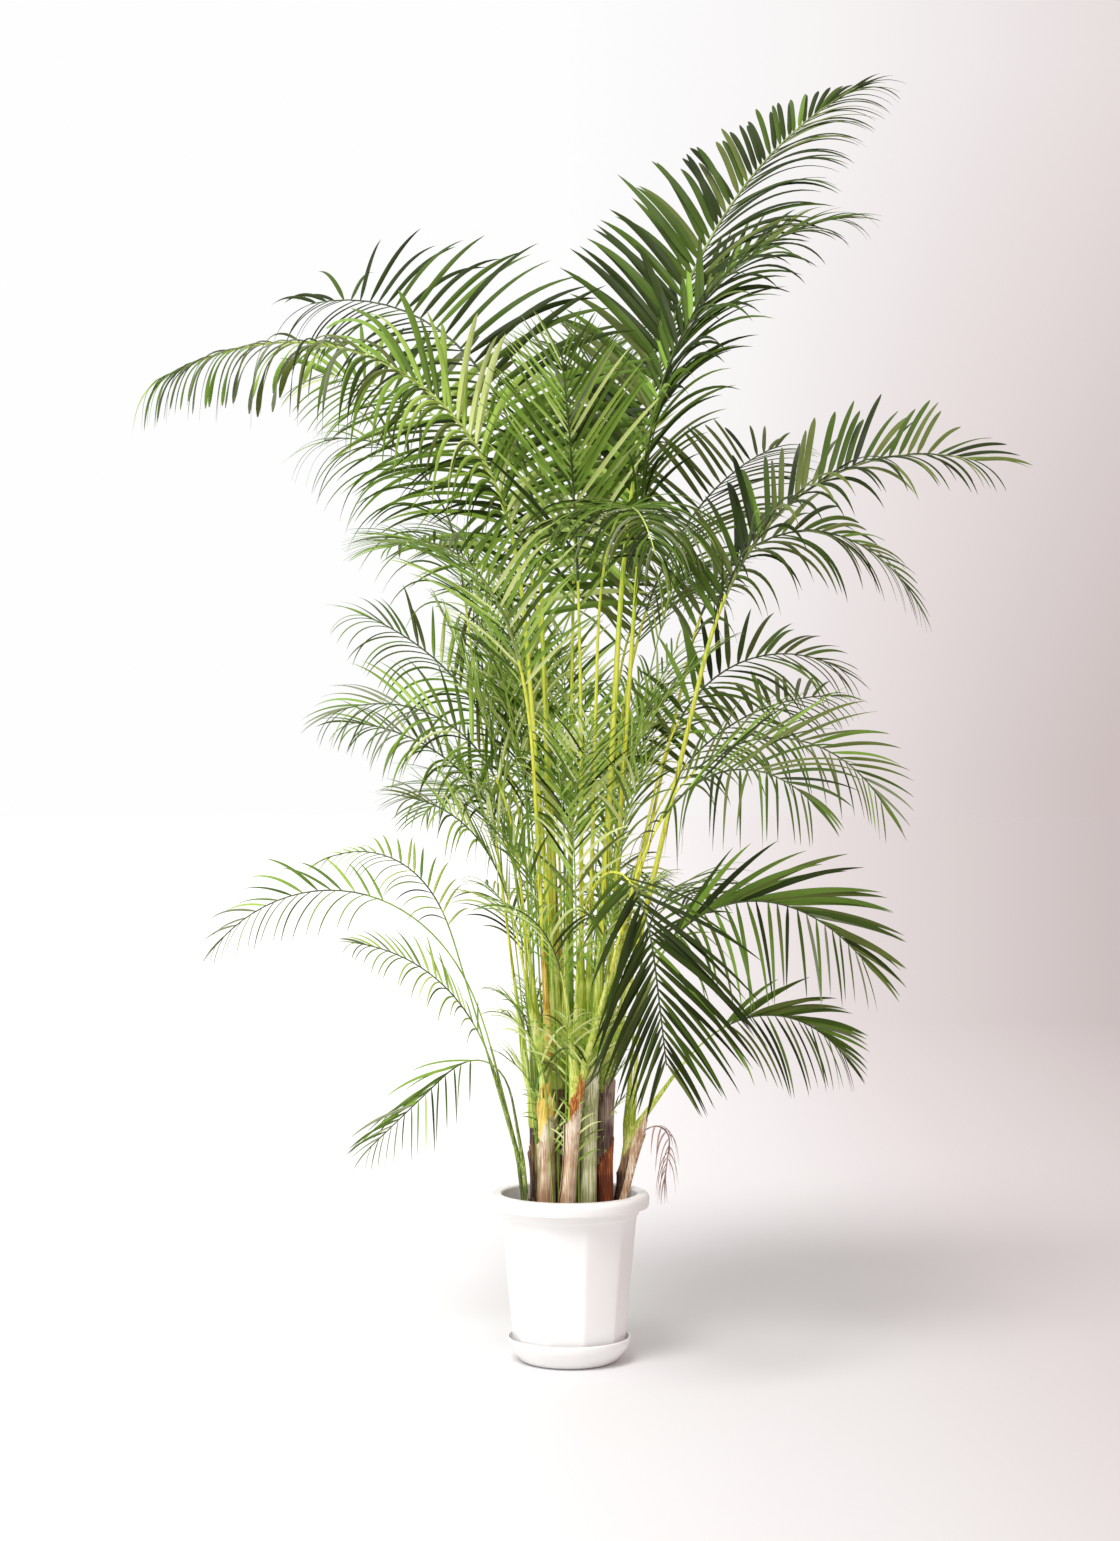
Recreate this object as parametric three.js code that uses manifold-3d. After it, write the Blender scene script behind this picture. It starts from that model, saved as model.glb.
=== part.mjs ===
// Potted areca palm: a clump of slender canes with arching feather fronds, in a round plastic pot
// that stands in a deep saucer. Millimetres, +Z up, origin at the centre of the flat underside.
// A frond's heading is its compass angle seen from above: 0 is +X (right), 90 is +Y (back),
// 180 is left and 270 is front.
import * as THREE from "three";
import { mergeGeometries, mergeVertices } from "three/addons/utils/BufferGeometryUtils.js";
import Module from "manifold-3d";

const wasm = await Module();
wasm.setup();

const { degToRad, lerp, smoothstep } = THREE.MathUtils;
const UP = new THREE.Vector3(0, 0, 1);

// Air between two pieces that touch.
const GAP = 0.3;

// Pot: a body of ten soft flats that narrows downwards, under a broad round rim.
const POT_FLATS = 10;
const POT_SEGMENTS = 50;
const POT_CORNER_AT = 285;
const FLAT_DEPTH = 0.036;
const FLAT_FADE = 60;
const RIM_R = 150;
const RIM_TOP = 313;
const RIM_HEIGHT = 26;
const RIM_ROUND = 7;
const OPENING_R = 125;
const BODY_TOP_R = 127;
const BODY_LOW_R = 105;
const BODY_LOW_Z = 40;
const FOOT_CURVE = 6;
const FOOT_R = 81;
const WALL = 3;
const FLOOR = 4;

// Saucer: a bowl with a flat foot.
const SAUCER_SEGMENTS = 36;
const SAUCER_STEPS = 4;
const SAUCER_FOOT_R = 86;
const SAUCER_RIM_R = 115;
const SAUCER_HEIGHT = 47;

// Potting mix, flat where the canes stand and lower along the wall.
const SOIL_TOP = 285;
const SOIL_FLAT_R = 112;
const SOIL_EDGE_DROP = 6;
const SOIL_CLEAR = 1.6;

// Canes: few-sided stalks that taper by a share of their radius and flare at the foot.
const CANE_SIDES = 7;
const CANE_STEPS = 3;
const CANE_TAPER = 0.12;
const CANE_FLARE = 0.25;

// Ribs: each stands on a share of its cane's radius from the cane's middle.
const RIB_STEPS = 40;
const PETIOLE_SEGMENTS = 4;
const RIB_FOOT_LEAST = 2;
const RIB_FOOT_GROWTH = 0.0025;
const RIB_FOOT_MOST = 5;
const RIB_TIP_R = 1.6;
const RIB_EDGE = 0.01;
const SEAT_SHARE = 0.66;

// Leaflets: pitch along the rib, closer at the tip, half widths in pitches, the angles from the rib
// at the foot and at the tip of the blade, how late they close in, and how much less droop the side
// has that a rolled blade lifts.
const LEAF_PITCH = 80;
const LEAST_PAIRS = 4;
const CROWDING = 0.92;
const ROOT_HALF = 0.1;
const LEAF_HALF = 0.38;
const LEAF_FULL_AT = 0.4;
const LEAF_THICK = 4.5;
const LEAF_ANGLE_LOW = 54;
const LEAF_ANGLE_TIP = 24;
const ANGLE_POWER = 3;
const SIDE_DROOP = 0.4;

// Leaflet lengths: the share at the foot of the blade, its growth per share of the blade, where
// they start to shorten, how much and how suddenly.
const LEAF_FIRST = 0.6;
const LEAF_GROWTH = 1.4;
const LEAF_FADE_FROM = 0.35;
const LEAF_FADE = 0.62;
const LEAF_FADE_POWER = 1.6;

// Room that a leaflet keeps, in shares of its size, and the lengths that are tried in turn.
const LEAF_CLEARANCE = 1.1;
const LEAF_TRIES = [1, 0.75, 0.5, 0.3];

// Fronds that arch over a wide gap: each is two pieces, parted between two leaflets at its bend.
const PARTED = [
  "long_left", "long_right", "arch_right", "mid_right_3", "low_right", "low_left_1", "dark_front",
];

const POT_LOOK = { color: 0xf2f1ef, roughness: 0.32, metalness: 0 };
const SOIL_LOOK = { color: 0x2b221b, roughness: 0.95, metalness: 0 };
const LEAF_ROUGHNESS = 0.5;
const CANE_ROUGHNESS = 0.6;
const LEAF_COLOURS = { dark: 0x2f4a26, mid: 0x4d7032, bright: 0x86a63f, pale: 0x8b9c78, dry: 0xa58d6b };
const CANE_COLOURS = { green: 0x76793c, tan: 0xa08a52, purple: 0x5d4436, russet: 0x7c4f2c };

// Canes: place of the foot on the potting mix, drift of the top per metre of height, height of the
// top over the floor and radius of the foot.
const CANES = {
  left_shoot: { x: -84, y: 4, drift: [-0.12, 0.02], top: 380, radius: 10, colour: "green" },
  left_low: { x: -76, y: -48, drift: [-0.1, -0.05], top: 370, radius: 10, colour: "green" },
  left_back: { x: -60, y: 52, drift: [-0.04, 0.03], top: 500, radius: 12, colour: "purple" },
  left_front: { x: -43, y: -36, drift: [0, -0.03], top: 560, radius: 14, colour: "tan" },
  mid_left: { x: -24, y: 10, drift: [0.02, 0.02], top: 600, radius: 14, colour: "purple" },
  mid_front: { x: -6, y: -66, drift: [0.08, -0.04], top: 530, radius: 13, colour: "tan" },
  mid_back: { x: -10, y: 70, drift: [0, 0.06], top: 560, radius: 14, colour: "russet" },
  centre: { x: 20, y: 16, drift: [0.02, 0], top: 620, radius: 14, colour: "green" },
  right_front: { x: 34, y: -40, drift: [0.03, -0.03], top: 580, radius: 14, colour: "green" },
  right_back: { x: 42, y: 62, drift: [0.04, 0.04], top: 600, radius: 14, colour: "purple" },
  right_main: { x: 66, y: -4, drift: [0.02, 0], top: 570, radius: 14, colour: "russet" },
  right_shoot: { x: 92, y: 28, drift: [0.16, 0.05], top: 420, radius: 11, colour: "purple" },
  dry_stub: { x: 95, y: -32, drift: [0.25, -0.05], top: 430, radius: 7, colour: "tan" },
};

// Fronds, each with its cane and the side of the cane's top that it stands on (seat), its heading,
// the length of petiole and rib together, the lean from upright at the foot and at the tip, and the
// shares of the length between which it bends over. bare is the share without leaflets, leaf is the
// length of the longest leaflet, roll turns the blade about its rib, vee lifts the leaflets over the
// blade's plane and droop lowers their tips. spread widens or narrows the angle of the left and the
// right leaflets.
const FRONDS = {
  tall_right: {
    cane: "right_front", seat: 60, heading: 35, length: 2085, lean: [4, 86], bend: [0.31, 1.38],
    bare: 0.41, leaf: 285, roll: 22, vee: 15, droop: 0.25,
    spread: [1.15, 0.7], colour: "dark",
  },
  tall_right_front: {
    cane: "right_main", seat: 215, heading: 6, length: 1715, lean: [4, 112], bend: [0.56, 1.27],
    bare: 0.48, leaf: 320, roll: 15, vee: 20, droop: 0.35,
    spread: [1, 0.75], colour: "dark",
  },
  tall_left: {
    cane: "mid_left", seat: 160, heading: 150, length: 1730, lean: [2, 119], bend: [0.41, 1.3],
    bare: 0.53, leaf: 340, roll: -55, vee: 15, droop: 0.3,
    spread: [1, 1.15], colour: "dark",
  },
  long_left: {
    cane: "mid_left", seat: 265, heading: 200, length: 1780, lean: [5, 116], bend: [0.4, 1.07],
    bare: 0.52, leaf: 300, roll: -28, vee: 20, droop: 0.4,
    spread: [1, 1.15], colour: "pale",
  },
  long_right: {
    cane: "right_main", seat: 330, heading: 337, length: 1445, lean: [14, 123], bend: [0.36, 1.26],
    bare: 0.48, leaf: 270, roll: 28, vee: 25, droop: 0.35,
    spread: [1.3, 0.85], colour: "dark",
  },
  arch_right: {
    cane: "right_back", seat: 340, heading: 20, length: 1336, lean: [9, 124], bend: [0.44, 1.1],
    bare: 0.46, leaf: 262, roll: 22, vee: 18, droop: 0.42,
    spread: [1.2, 1], colour: "mid",
  },
  tall_left_back: {
    cane: "mid_back", seat: 270, heading: 157, length: 1560, lean: [3, 109], bend: [0.39, 1.27],
    bare: 0.53, leaf: 290, roll: -20, vee: 15, droop: 0.45,
    spread: [1.1, 1.2], colour: "bright",
  },
  tall_back_right: {
    cane: "right_back", seat: 215, heading: 46, length: 1370, lean: [7, 85], bend: [0.28, 1.25],
    bare: 0.55, leaf: 260, roll: 20, vee: 25, droop: 0.25,
    spread: [1.3, 0.9], colour: "mid",
  },
  upright_front: {
    cane: "centre", seat: 250, heading: 262, length: 1280, lean: [1, 60], bend: [0.3, 1.35],
    bare: 0.6, leaf: 270, roll: 0, vee: 25, droop: 0.1,
    spread: [0.75, 0.75], colour: "bright",
  },
  upright_back: {
    cane: "mid_back", seat: 0, heading: 80, length: 1620, lean: [3, 85], bend: [0.38, 1.23],
    bare: 0.6, leaf: 300, roll: 0, vee: 25, droop: 0.15,
    spread: [0.8, 0.8], colour: "mid",
  },
  arch_front_right: {
    cane: "centre", seat: 20, heading: 288, length: 1280, lean: [6, 142], bend: [0.5, 1.05],
    bare: 0.68, leaf: 190, roll: 0, vee: 20, droop: 0.75,
    spread: [1.35, 1.35], colour: "mid",
  },
  arch_front_left: {
    cane: "left_front", seat: 315, heading: 240, length: 1250, lean: [6, 115], bend: [0.38, 1.12],
    bare: 0.55, leaf: 240, roll: 0, vee: 20, droop: 0.2,
    spread: [0.85, 0.85], colour: "bright",
  },
  arch_back_right: {
    cane: "right_back", seat: 90, heading: 70, length: 1270, lean: [8, 115], bend: [0.32, 1.1],
    bare: 0.58, leaf: 260, roll: 0, vee: 25, droop: 0.2,
    spread: [0.85, 0.85], colour: "mid",
  },
  arch_back_left: {
    cane: "mid_back", seat: 180, heading: 115, length: 1320, lean: [5, 110], bend: [0.38, 1.12],
    bare: 0.58, leaf: 260, roll: 0, vee: 25, droop: 0.2,
    spread: [0.85, 0.85], colour: "mid",
  },
  thin_left: {
    cane: "left_back", seat: 180, heading: 159, length: 1425, lean: [8, 122], bend: [0.65, 1.13],
    bare: 0.61, leaf: 240, roll: -30, vee: 15, droop: 0.6,
    colour: "bright",
  },
  mid_right_1: {
    cane: "right_front", seat: 330, heading: 14, length: 1005, lean: [13, 137], bend: [0.45, 1.17],
    bare: 0.58, leaf: 200, roll: 30, vee: 12, droop: 0.4,
    spread: [1.1, 1], colour: "mid",
  },
  mid_right_2: {
    cane: "right_main", seat: 90, heading: 18, length: 925, lean: [8, 108], bend: [0.18, 1.27],
    bare: 0.57, leaf: 170, roll: 30, vee: 12, droop: 0.4,
    spread: [1.3, 1], colour: "mid",
  },
  mid_right_3: {
    cane: "right_front", seat: 215, heading: 338, length: 975, lean: [17, 165], bend: [0.31, 1.17],
    bare: 0.53, leaf: 200, roll: 30, vee: 12, droop: 0.35,
    spread: [1.1, 1], colour: "mid",
  },
  mid_right_4: {
    cane: "mid_front", seat: 10, heading: 315, length: 910, lean: [20, 147], bend: [0.34, 1.2],
    bare: 0.53, leaf: 230, roll: 30, vee: 12, droop: 0.5,
    spread: [1, 1.1], colour: "dark",
  },
  low_right: {
    cane: "right_shoot", seat: 300, heading: 349, length: 795, lean: [4, 142], bend: [0.16, 1.06],
    bare: 0.45, leaf: 250, roll: 30, vee: 20, droop: 0.3,
    spread: [0.4, 1.3], colour: "dark",
  },
  lowest_right: {
    cane: "right_shoot", seat: 30, heading: 14, length: 540, lean: [38, 147], bend: [0.19, 1.12],
    bare: 0.46, leaf: 180, roll: 25, vee: 15, droop: 0.3,
    spread: [0.4, 1.4], colour: "dark",
  },
  dark_front: {
    cane: "mid_front", seat: 130, heading: 294, length: 890, lean: [5, 165], bend: [0.18, 0.83],
    bare: 0.57, leaf: 280, roll: 0, vee: 10, droop: 0.15,
    spread: [0.8, 0.8], colour: "dark",
  },
  mid_left_1: {
    cane: "left_back", seat: 60, heading: 174, length: 1020, lean: [2, 86], bend: [0.29, 1.29],
    bare: 0.58, leaf: 220, roll: -30, vee: 12, droop: 0.5,
    spread: [1, 1.1], colour: "mid",
  },
  mid_left_2: {
    cane: "left_front", seat: 135, heading: 186, length: 880, lean: [7, 140], bend: [0.38, 1.26],
    bare: 0.56, leaf: 220, roll: -30, vee: 12, droop: 0.5,
    colour: "mid",
  },
  mid_left_3: {
    cane: "left_back", seat: 300, heading: 199, length: 855, lean: [4, 101], bend: [0.27, 1.25],
    bare: 0.55, leaf: 200, roll: -30, vee: 12, droop: 0.5,
    spread: [1, 1.3], colour: "mid",
  },
  mid_left_4: {
    cane: "left_front", seat: 225, heading: 211, length: 600, lean: [13, 103], bend: [0.36, 1.3],
    bare: 0.48, leaf: 180, roll: -30, vee: 12, droop: 0.5,
    colour: "mid",
  },
  low_left_1: {
    cane: "left_shoot", seat: 275, heading: 182, length: 910, lean: [14, 162], bend: [0.16, 1.25],
    bare: 0.46, leaf: 190, roll: -30, vee: 12, droop: 0.5,
    colour: "mid",
  },
  low_left_2: {
    cane: "left_shoot", seat: 95, heading: 155, length: 700, lean: [24, 88], bend: [0.22, 1.2],
    bare: 0.46, leaf: 160, roll: 0, vee: 10, droop: 0.7,
    colour: "bright",
  },
  low_left_3: {
    cane: "left_low", seat: 130, heading: 200, length: 565, lean: [16, 95], bend: [0.17, 1.29],
    bare: 0.45, leaf: 160, roll: -30, vee: 12, droop: 0.5,
    colour: "bright",
  },
  low_left_4: {
    cane: "left_low", seat: 280, heading: 217, length: 520, lean: [12, 126], bend: [0.19, 0.64],
    bare: 0.47, leaf: 150, roll: -15, vee: 15, droop: 0.4,
    colour: "mid",
  },
  mid_back: {
    cane: "mid_back", seat: 90, heading: 95, length: 880, lean: [12, 130], bend: [0.22, 1.08],
    bare: 0.56, leaf: 230, roll: 0, vee: 25, droop: 0.3,
    spread: [0.9, 0.9], colour: "mid",
  },
  mid_back_left: {
    cane: "mid_left", seat: 70, heading: 125, length: 780, lean: [15, 125], bend: [0.22, 1.1],
    bare: 0.56, leaf: 210, roll: 0, vee: 25, droop: 0.3,
    spread: [0.9, 0.9], colour: "mid",
  },
  low_back_right: {
    cane: "right_shoot", seat: 150, heading: 70, length: 740, lean: [14, 120], bend: [0.22, 1.1],
    bare: 0.42, leaf: 210, roll: 0, vee: 25, droop: 0.3,
    colour: "dark",
  },
  young_back: {
    cane: "centre", seat: 135, heading: 85, length: 690, lean: [2, 45], bend: [0.22, 1.2],
    bare: 0.5, leaf: 180, roll: 0, vee: 25, droop: 0.15,
    spread: [0.8, 0.8], colour: "bright",
  },
  young_front: {
    cane: "mid_left", seat: 350, heading: 285, length: 650, lean: [3, 60], bend: [0.22, 1.2],
    bare: 0.5, leaf: 160, roll: 0, vee: 25, droop: 0.15,
    spread: [0.75, 0.75], colour: "bright",
  },
  small_front: {
    cane: "mid_front", seat: 250, heading: 235, length: 440, lean: [10, 95], bend: [0.2, 1.2],
    bare: 0.4, leaf: 150, roll: 0, vee: 20, droop: 0.35,
    colour: "bright",
  },
  dry: {
    cane: "dry_stub", seat: 0, heading: 340, length: 190, lean: [30, 165], bend: [0.1, 0.9],
    bare: 0.3, leaf: 90, roll: 0, vee: 0, droop: 0.6,
    colour: "dry",
  },
};

// Moves every vertex of a straight solid to its place.
function shaped(geometry, place) {
  const points = geometry.attributes.position;
  const point = new THREE.Vector3();
  for (let i = 0; i < points.count; i++) {
    point.fromBufferAttribute(points, i);
    place(point);
    points.setXYZ(i, point.x, point.y, point.z);
  }
  return geometry;
}

function solidOf(geometry) {
  const bare = geometry.clone();
  bare.deleteAttribute("normal");
  bare.deleteAttribute("uv");
  const merged = mergeVertices(bare, 1e-4);
  const vertProperties = merged.attributes.position.array;
  const triVerts = new Uint32Array(merged.index.array);
  return new wasm.Manifold(new wasm.Mesh({ numProp: 3, vertProperties, triVerts }));
}

// A body turned about the pot's axis from points of radius and height.
function turned(profile, segments) {
  const geometry = new THREE.LatheGeometry(
    profile.map(([radius, height]) => new THREE.Vector2(radius, height)),
    segments,
  );
  return geometry.rotateX(Math.PI / 2).rotateZ(degToRad(POT_CORNER_AT + 90));
}

// Draws the pot's wall in towards the flats between its soft corners, all but the round rim.
function withFlats(geometry) {
  const wedge = 360 / POT_FLATS;
  return shaped(geometry, (point) => {
    const angle = THREE.MathUtils.radToDeg(Math.atan2(point.y, point.x)) - POT_CORNER_AT;
    const fromCorner = Math.abs(angle / wedge - Math.round(angle / wedge)) * 2;
    const below = 1 - smoothstep(point.z, RIM_TOP - RIM_HEIGHT - FLAT_FADE, RIM_TOP - RIM_HEIGHT);
    const draw = 1 - FLAT_DEPTH * below * fromCorner * (2 - fromCorner);
    point.x *= draw;
    point.y *= draw;
  });
}

function innerRadius(height) {
  const share = (height - BODY_LOW_Z) / (RIM_TOP - RIM_ROUND - BODY_LOW_Z);
  return lerp(BODY_LOW_R - WALL, OPENING_R - 1, share);
}

function pot() {
  const stand = FLOOR + GAP;
  const floor = stand + FLOOR;
  const rimFoot = RIM_TOP - RIM_HEIGHT;
  return withFlats(turned([
    [0, stand],
    [FOOT_R, stand],
    [BODY_LOW_R - FOOT_CURVE, BODY_LOW_Z / 2],
    [BODY_LOW_R, BODY_LOW_Z],
    [BODY_TOP_R, rimFoot],
    [RIM_R - 1, rimFoot],
    [RIM_R, RIM_TOP - RIM_ROUND],
    [RIM_R - RIM_ROUND, RIM_TOP],
    [OPENING_R + RIM_ROUND, RIM_TOP],
    [OPENING_R - 1, RIM_TOP - RIM_ROUND],
    [BODY_LOW_R - WALL, BODY_LOW_Z],
    [FOOT_R + WALL, floor + 2 * WALL],
    [FOOT_R - WALL, floor],
    [0, floor],
  ], POT_SEGMENTS));
}

function saucer() {
  const outside = [];
  for (let i = 0; i <= SAUCER_STEPS; i++) {
    const share = i / SAUCER_STEPS;
    const radius = lerp(SAUCER_FOOT_R, SAUCER_RIM_R, Math.sin((share * Math.PI) / 2));
    outside.push([radius, share * SAUCER_HEIGHT]);
  }
  const inside = outside.map(([radius, height]) => [radius - WALL, Math.max(height, FLOOR)]);
  return turned([[0, 0], ...outside, ...inside.reverse(), [0, FLOOR]], SAUCER_SEGMENTS);
}

function soil() {
  const low = FLOOR + GAP + FLOOR + GAP;
  const edge = SOIL_TOP - SOIL_EDGE_DROP;
  return withFlats(turned([
    [0, low],
    [FOOT_R - WALL - SOIL_CLEAR, low],
    [BODY_LOW_R - WALL - SOIL_CLEAR, BODY_LOW_Z],
    [innerRadius(edge) - SOIL_CLEAR, edge],
    [SOIL_FLAT_R, SOIL_TOP],
    [0, SOIL_TOP],
  ], POT_FLATS * 2));
}

// A cane with a flared foot, cut flat at the potting mix and at its top.
function cane({ x, y, drift, top, radius }) {
  const foot = SOIL_TOP + GAP;
  const rise = top - foot;
  const thin = (1 - CANE_TAPER) * radius;
  const stalk = new THREE.CylinderGeometry(thin, radius, rise, CANE_SIDES, CANE_STEPS);
  stalk.translate(0, rise / 2, 0);
  return shaped(stalk, (point) => {
    const height = point.y;
    const flare = 1 + CANE_FLARE * (1 - smoothstep(height, 0, rise / CANE_STEPS));
    point.set(
      x + drift[0] * height + point.z * flare,
      y + drift[1] * height + point.x * flare,
      foot + height,
    );
  });
}

// The stations of a frond's rib: a point, the way along, the blade's upper side and its left.
function ribOf(frond) {
  const { x, y, drift, top, radius } = CANES[frond.cane];
  const heading = degToRad(frond.heading);
  const seat = degToRad(frond.seat);
  const rise = top - SOIL_TOP;
  const point = new THREE.Vector3(
    x + drift[0] * rise + SEAT_SHARE * radius * Math.cos(seat),
    y + drift[1] * rise + SEAT_SHARE * radius * Math.sin(seat),
    top + GAP,
  );
  const stations = [];
  for (let i = 0; i <= RIB_STEPS; i++) {
    const lean = degToRad(lerp(...frond.lean, smoothstep(i / RIB_STEPS, ...frond.bend)));
    const out = new THREE.Vector3(Math.cos(heading), Math.sin(heading), 0);
    const along = out.clone().multiplyScalar(Math.sin(lean)).addScaledVector(UP, Math.cos(lean));
    const upper = out.multiplyScalar(-Math.cos(lean)).addScaledVector(UP, Math.sin(lean));
    const left = upper.clone().cross(along);
    stations.push({ point: point.clone(), along, upper, left });
    point.addScaledVector(along, frond.length / RIB_STEPS);
  }
  return stations;
}

function stationAt(rib, share) {
  const k = Math.min(share * RIB_STEPS, RIB_STEPS - 1e-6);
  const low = rib[Math.floor(k)];
  const high = rib[Math.floor(k) + 1];
  const mix = (part) => low[part].clone().lerp(high[part], k % 1);
  return { point: mix("point"), along: mix("along"), upper: mix("upper"), left: mix("left") };
}

function ribRadius(frond, share) {
  const foot = Math.min(RIB_FOOT_MOST, RIB_FOOT_LEAST + RIB_FOOT_GROWTH * frond.length);
  return lerp(foot, RIB_TIP_R, share);
}

// How far along its blade a share of the frond's length lies, and back again.
function bladeShare(frond, share) {
  return Math.max(0, (share - frond.bare) / (1 - frond.bare)) ** (1 / CROWDING);
}

function ribShare(frond, along) {
  return frond.bare + (1 - frond.bare) * along ** CROWDING;
}

// The leaflets get longer over the first third of the blade and shorter towards its tip.
function leafLength(frond, along) {
  const growing = Math.min(1, LEAF_FIRST + LEAF_GROWTH * along);
  const past = Math.max(0, (along - LEAF_FADE_FROM) / (1 - LEAF_FADE_FROM));
  return frond.leaf * growing * (1 - LEAF_FADE * past ** LEAF_FADE_POWER);
}

// The leaflets close in on the rib towards the blade's tip.
function leafAngle(frond, along, side) {
  const [left, right] = frond.spread ?? [1, 1];
  return lerp(LEAF_ANGLE_LOW, LEAF_ANGLE_TIP, along ** ANGLE_POWER) * (side > 0 ? left : right);
}

// Carries a flat sheet, x along the rib as a share of its length, y to the blade's left and z through
// its thickness, to the bent, folded and drooping blade.
function bladePlace(frond, rib, thicker) {
  const roll = degToRad(frond.roll);
  const vee = degToRad(frond.vee);
  const cut = CANES[frond.cane].top + GAP;
  return (point) => {
    const { x: share, y: across, z: level } = point;
    const { point: middle, along: way, upper, left } = stationAt(rib, share);
    const radius = ribRadius(frond, share);
    const reach = Math.abs(across) - radius;
    point.copy(middle);
    if (reach < RIB_EDGE) {
      point.addScaledVector(left, across).addScaledVector(upper, level * radius);
      if (share === 0) point.z = cut;
      return;
    }
    const side = Math.sign(across);
    const along = bladeShare(frond, share);
    const angle = degToRad(leafAngle(frond, along, side));
    const lifted = upper.clone().multiplyScalar(Math.cos(roll)).addScaledVector(left, -Math.sin(roll));
    const sideways = left.clone().multiplyScalar(Math.cos(roll)).addScaledVector(upper, Math.sin(roll));
    const out = way.clone().multiplyScalar(Math.cos(angle));
    out.addScaledVector(sideways, side * Math.sin(angle) * Math.cos(vee));
    out.addScaledVector(lifted, Math.sin(angle) * Math.sin(vee));
    const face = way.clone().cross(out).multiplyScalar(side).normalize();
    const hang = 1 - SIDE_DROOP * side * Math.sign(roll);
    const sag = (frond.droop * hang * reach * reach) / leafLength(frond, along);
    point.addScaledVector(left, side * radius).addScaledVector(out, reach).addScaledVector(UP, -sag);
    point.addScaledVector(face, (level * LEAF_THICK * thicker) / 2);
  };
}

// The points of the flat pattern that a triangle stands on: two where it is part of a wall.
function footprint(points, first) {
  const corners = [0, 1, 2].map((k) => [points.getX(first + k), points.getY(first + k)].join());
  return [...new Set(corners)].sort();
}

// One closed sheet from flat cells that share edges, without the walls between them, carried to
// its place. Small cells let it bend evenly.
function sheet(cells, place) {
  const slabs = cells.map((outline) => {
    const shape = new THREE.Shape(outline.map(([x, y]) => new THREE.Vector2(x, y)));
    return new THREE.ExtrudeGeometry(shape, { depth: 2, steps: 1, bevelEnabled: false });
  });
  const flat = mergeGeometries(slabs).translate(0, 0, -1);
  const points = flat.attributes.position;
  const walls = new Map();
  for (let i = 0; i < points.count; i += 3) {
    const edge = footprint(points, i);
    if (edge.length < 3) walls.set(edge.join(), (walls.get(edge.join()) ?? 0) + 1);
  }
  const kept = [];
  for (let i = 0; i < points.count; i += 3) {
    const shared = walls.get(footprint(points, i).join()) > 2;
    if (!shared) kept.push(...points.array.subarray(3 * i, 3 * i + 9));
  }
  const whole = new THREE.BufferGeometry();
  whole.setAttribute("position", new THREE.Float32BufferAttribute(kept, 3));
  shaped(whole, place).computeVertexNormals();
  return whole;
}

// The outline of leaflet i on one side, from its root round its tip and back.
function leafOutline(frond, i, side, scale, wider = 1) {
  const pitch = 1 / pairsOf(frond);
  const along = (i + 0.5) * pitch;
  const at = (step) => ribShare(frond, along + step * pitch * wider);
  const middle = at(0);
  const length = leafLength(frond, along) * scale * wider;
  const out = (share, part) => side * (ribRadius(frond, share) + part * length);
  return [
    [at(-ROOT_HALF), out(at(-ROOT_HALF), 0)],
    [at(-LEAF_HALF), out(at(-LEAF_HALF), LEAF_FULL_AT)],
    [middle, out(middle, 1)],
    [at(LEAF_HALF), out(at(LEAF_HALF), LEAF_FULL_AT)],
    [at(ROOT_HALF), out(at(ROOT_HALF), 0)],
  ];
}

function pairsOf(frond) {
  return Math.max(LEAST_PAIRS, Math.round((frond.length * (1 - frond.bare)) / LEAF_PITCH));
}

// The stretches of a frond's length that are one piece each: all of it, or what lies on either side
// of the bend.
function stretchesOf(name) {
  const frond = FRONDS[name];
  if (!PARTED.includes(name)) return [[0, 1]];
  const bend = bladeShare(frond, (frond.bend[0] + frond.bend[1]) / 2);
  const pairs = pairsOf(frond);
  const parting = ribShare(frond, Math.round(bend * pairs) / pairs);
  const half = GAP / 2 / frond.length;
  return [[0, parting - half], [parting + half, 1]];
}

// The shares of the length at which the rib is divided: evenly up the petiole, then at both edges
// of every leaflet's root.
function ribCuts(frond, [from, to]) {
  const cuts = [];
  for (let i = 1; i < PETIOLE_SEGMENTS; i++) cuts.push((frond.bare * i) / PETIOLE_SEGMENTS);
  for (let i = 0; i < pairsOf(frond); i++) {
    const outline = leafOutline(frond, i, 1, 1);
    cuts.push(outline[0][0], outline.at(-1)[0]);
  }
  return [from, ...cuts.filter((cut) => cut > from && cut < to), to];
}

function frondGeometry(frond, rib, leaves, stretch) {
  const edge = (share, side) => [share, side * ribRadius(frond, share)];
  const cuts = ribCuts(frond, stretch);
  const cells = cuts.slice(1).map((high, k) => {
    const low = cuts[k];
    return [edge(low, -1), edge(high, -1), edge(high, 1), edge(low, 1)];
  });
  for (const { i, side, scale } of leaves) {
    const outline = leafOutline(frond, i, side, scale);
    const root = outline[0][0];
    if (root > stretch[0] && root < stretch[1]) cells.push(outline);
  }
  return sheet(cells, bladePlace(frond, rib, 1));
}

function boxesMeet(a, b) {
  return [0, 1, 2].every((i) => a.min[i] <= b.max[i] && b.min[i] <= a.max[i]);
}

// True where a leaflet would enter another frond or a cane.
function meetsAny(solid, others) {
  const box = solid.boundingBox();
  return others.some((other) => {
    if (!boxesMeet(box, other.boundingBox())) return false;
    return !solid.intersect(other).isEmpty();
  });
}

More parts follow.
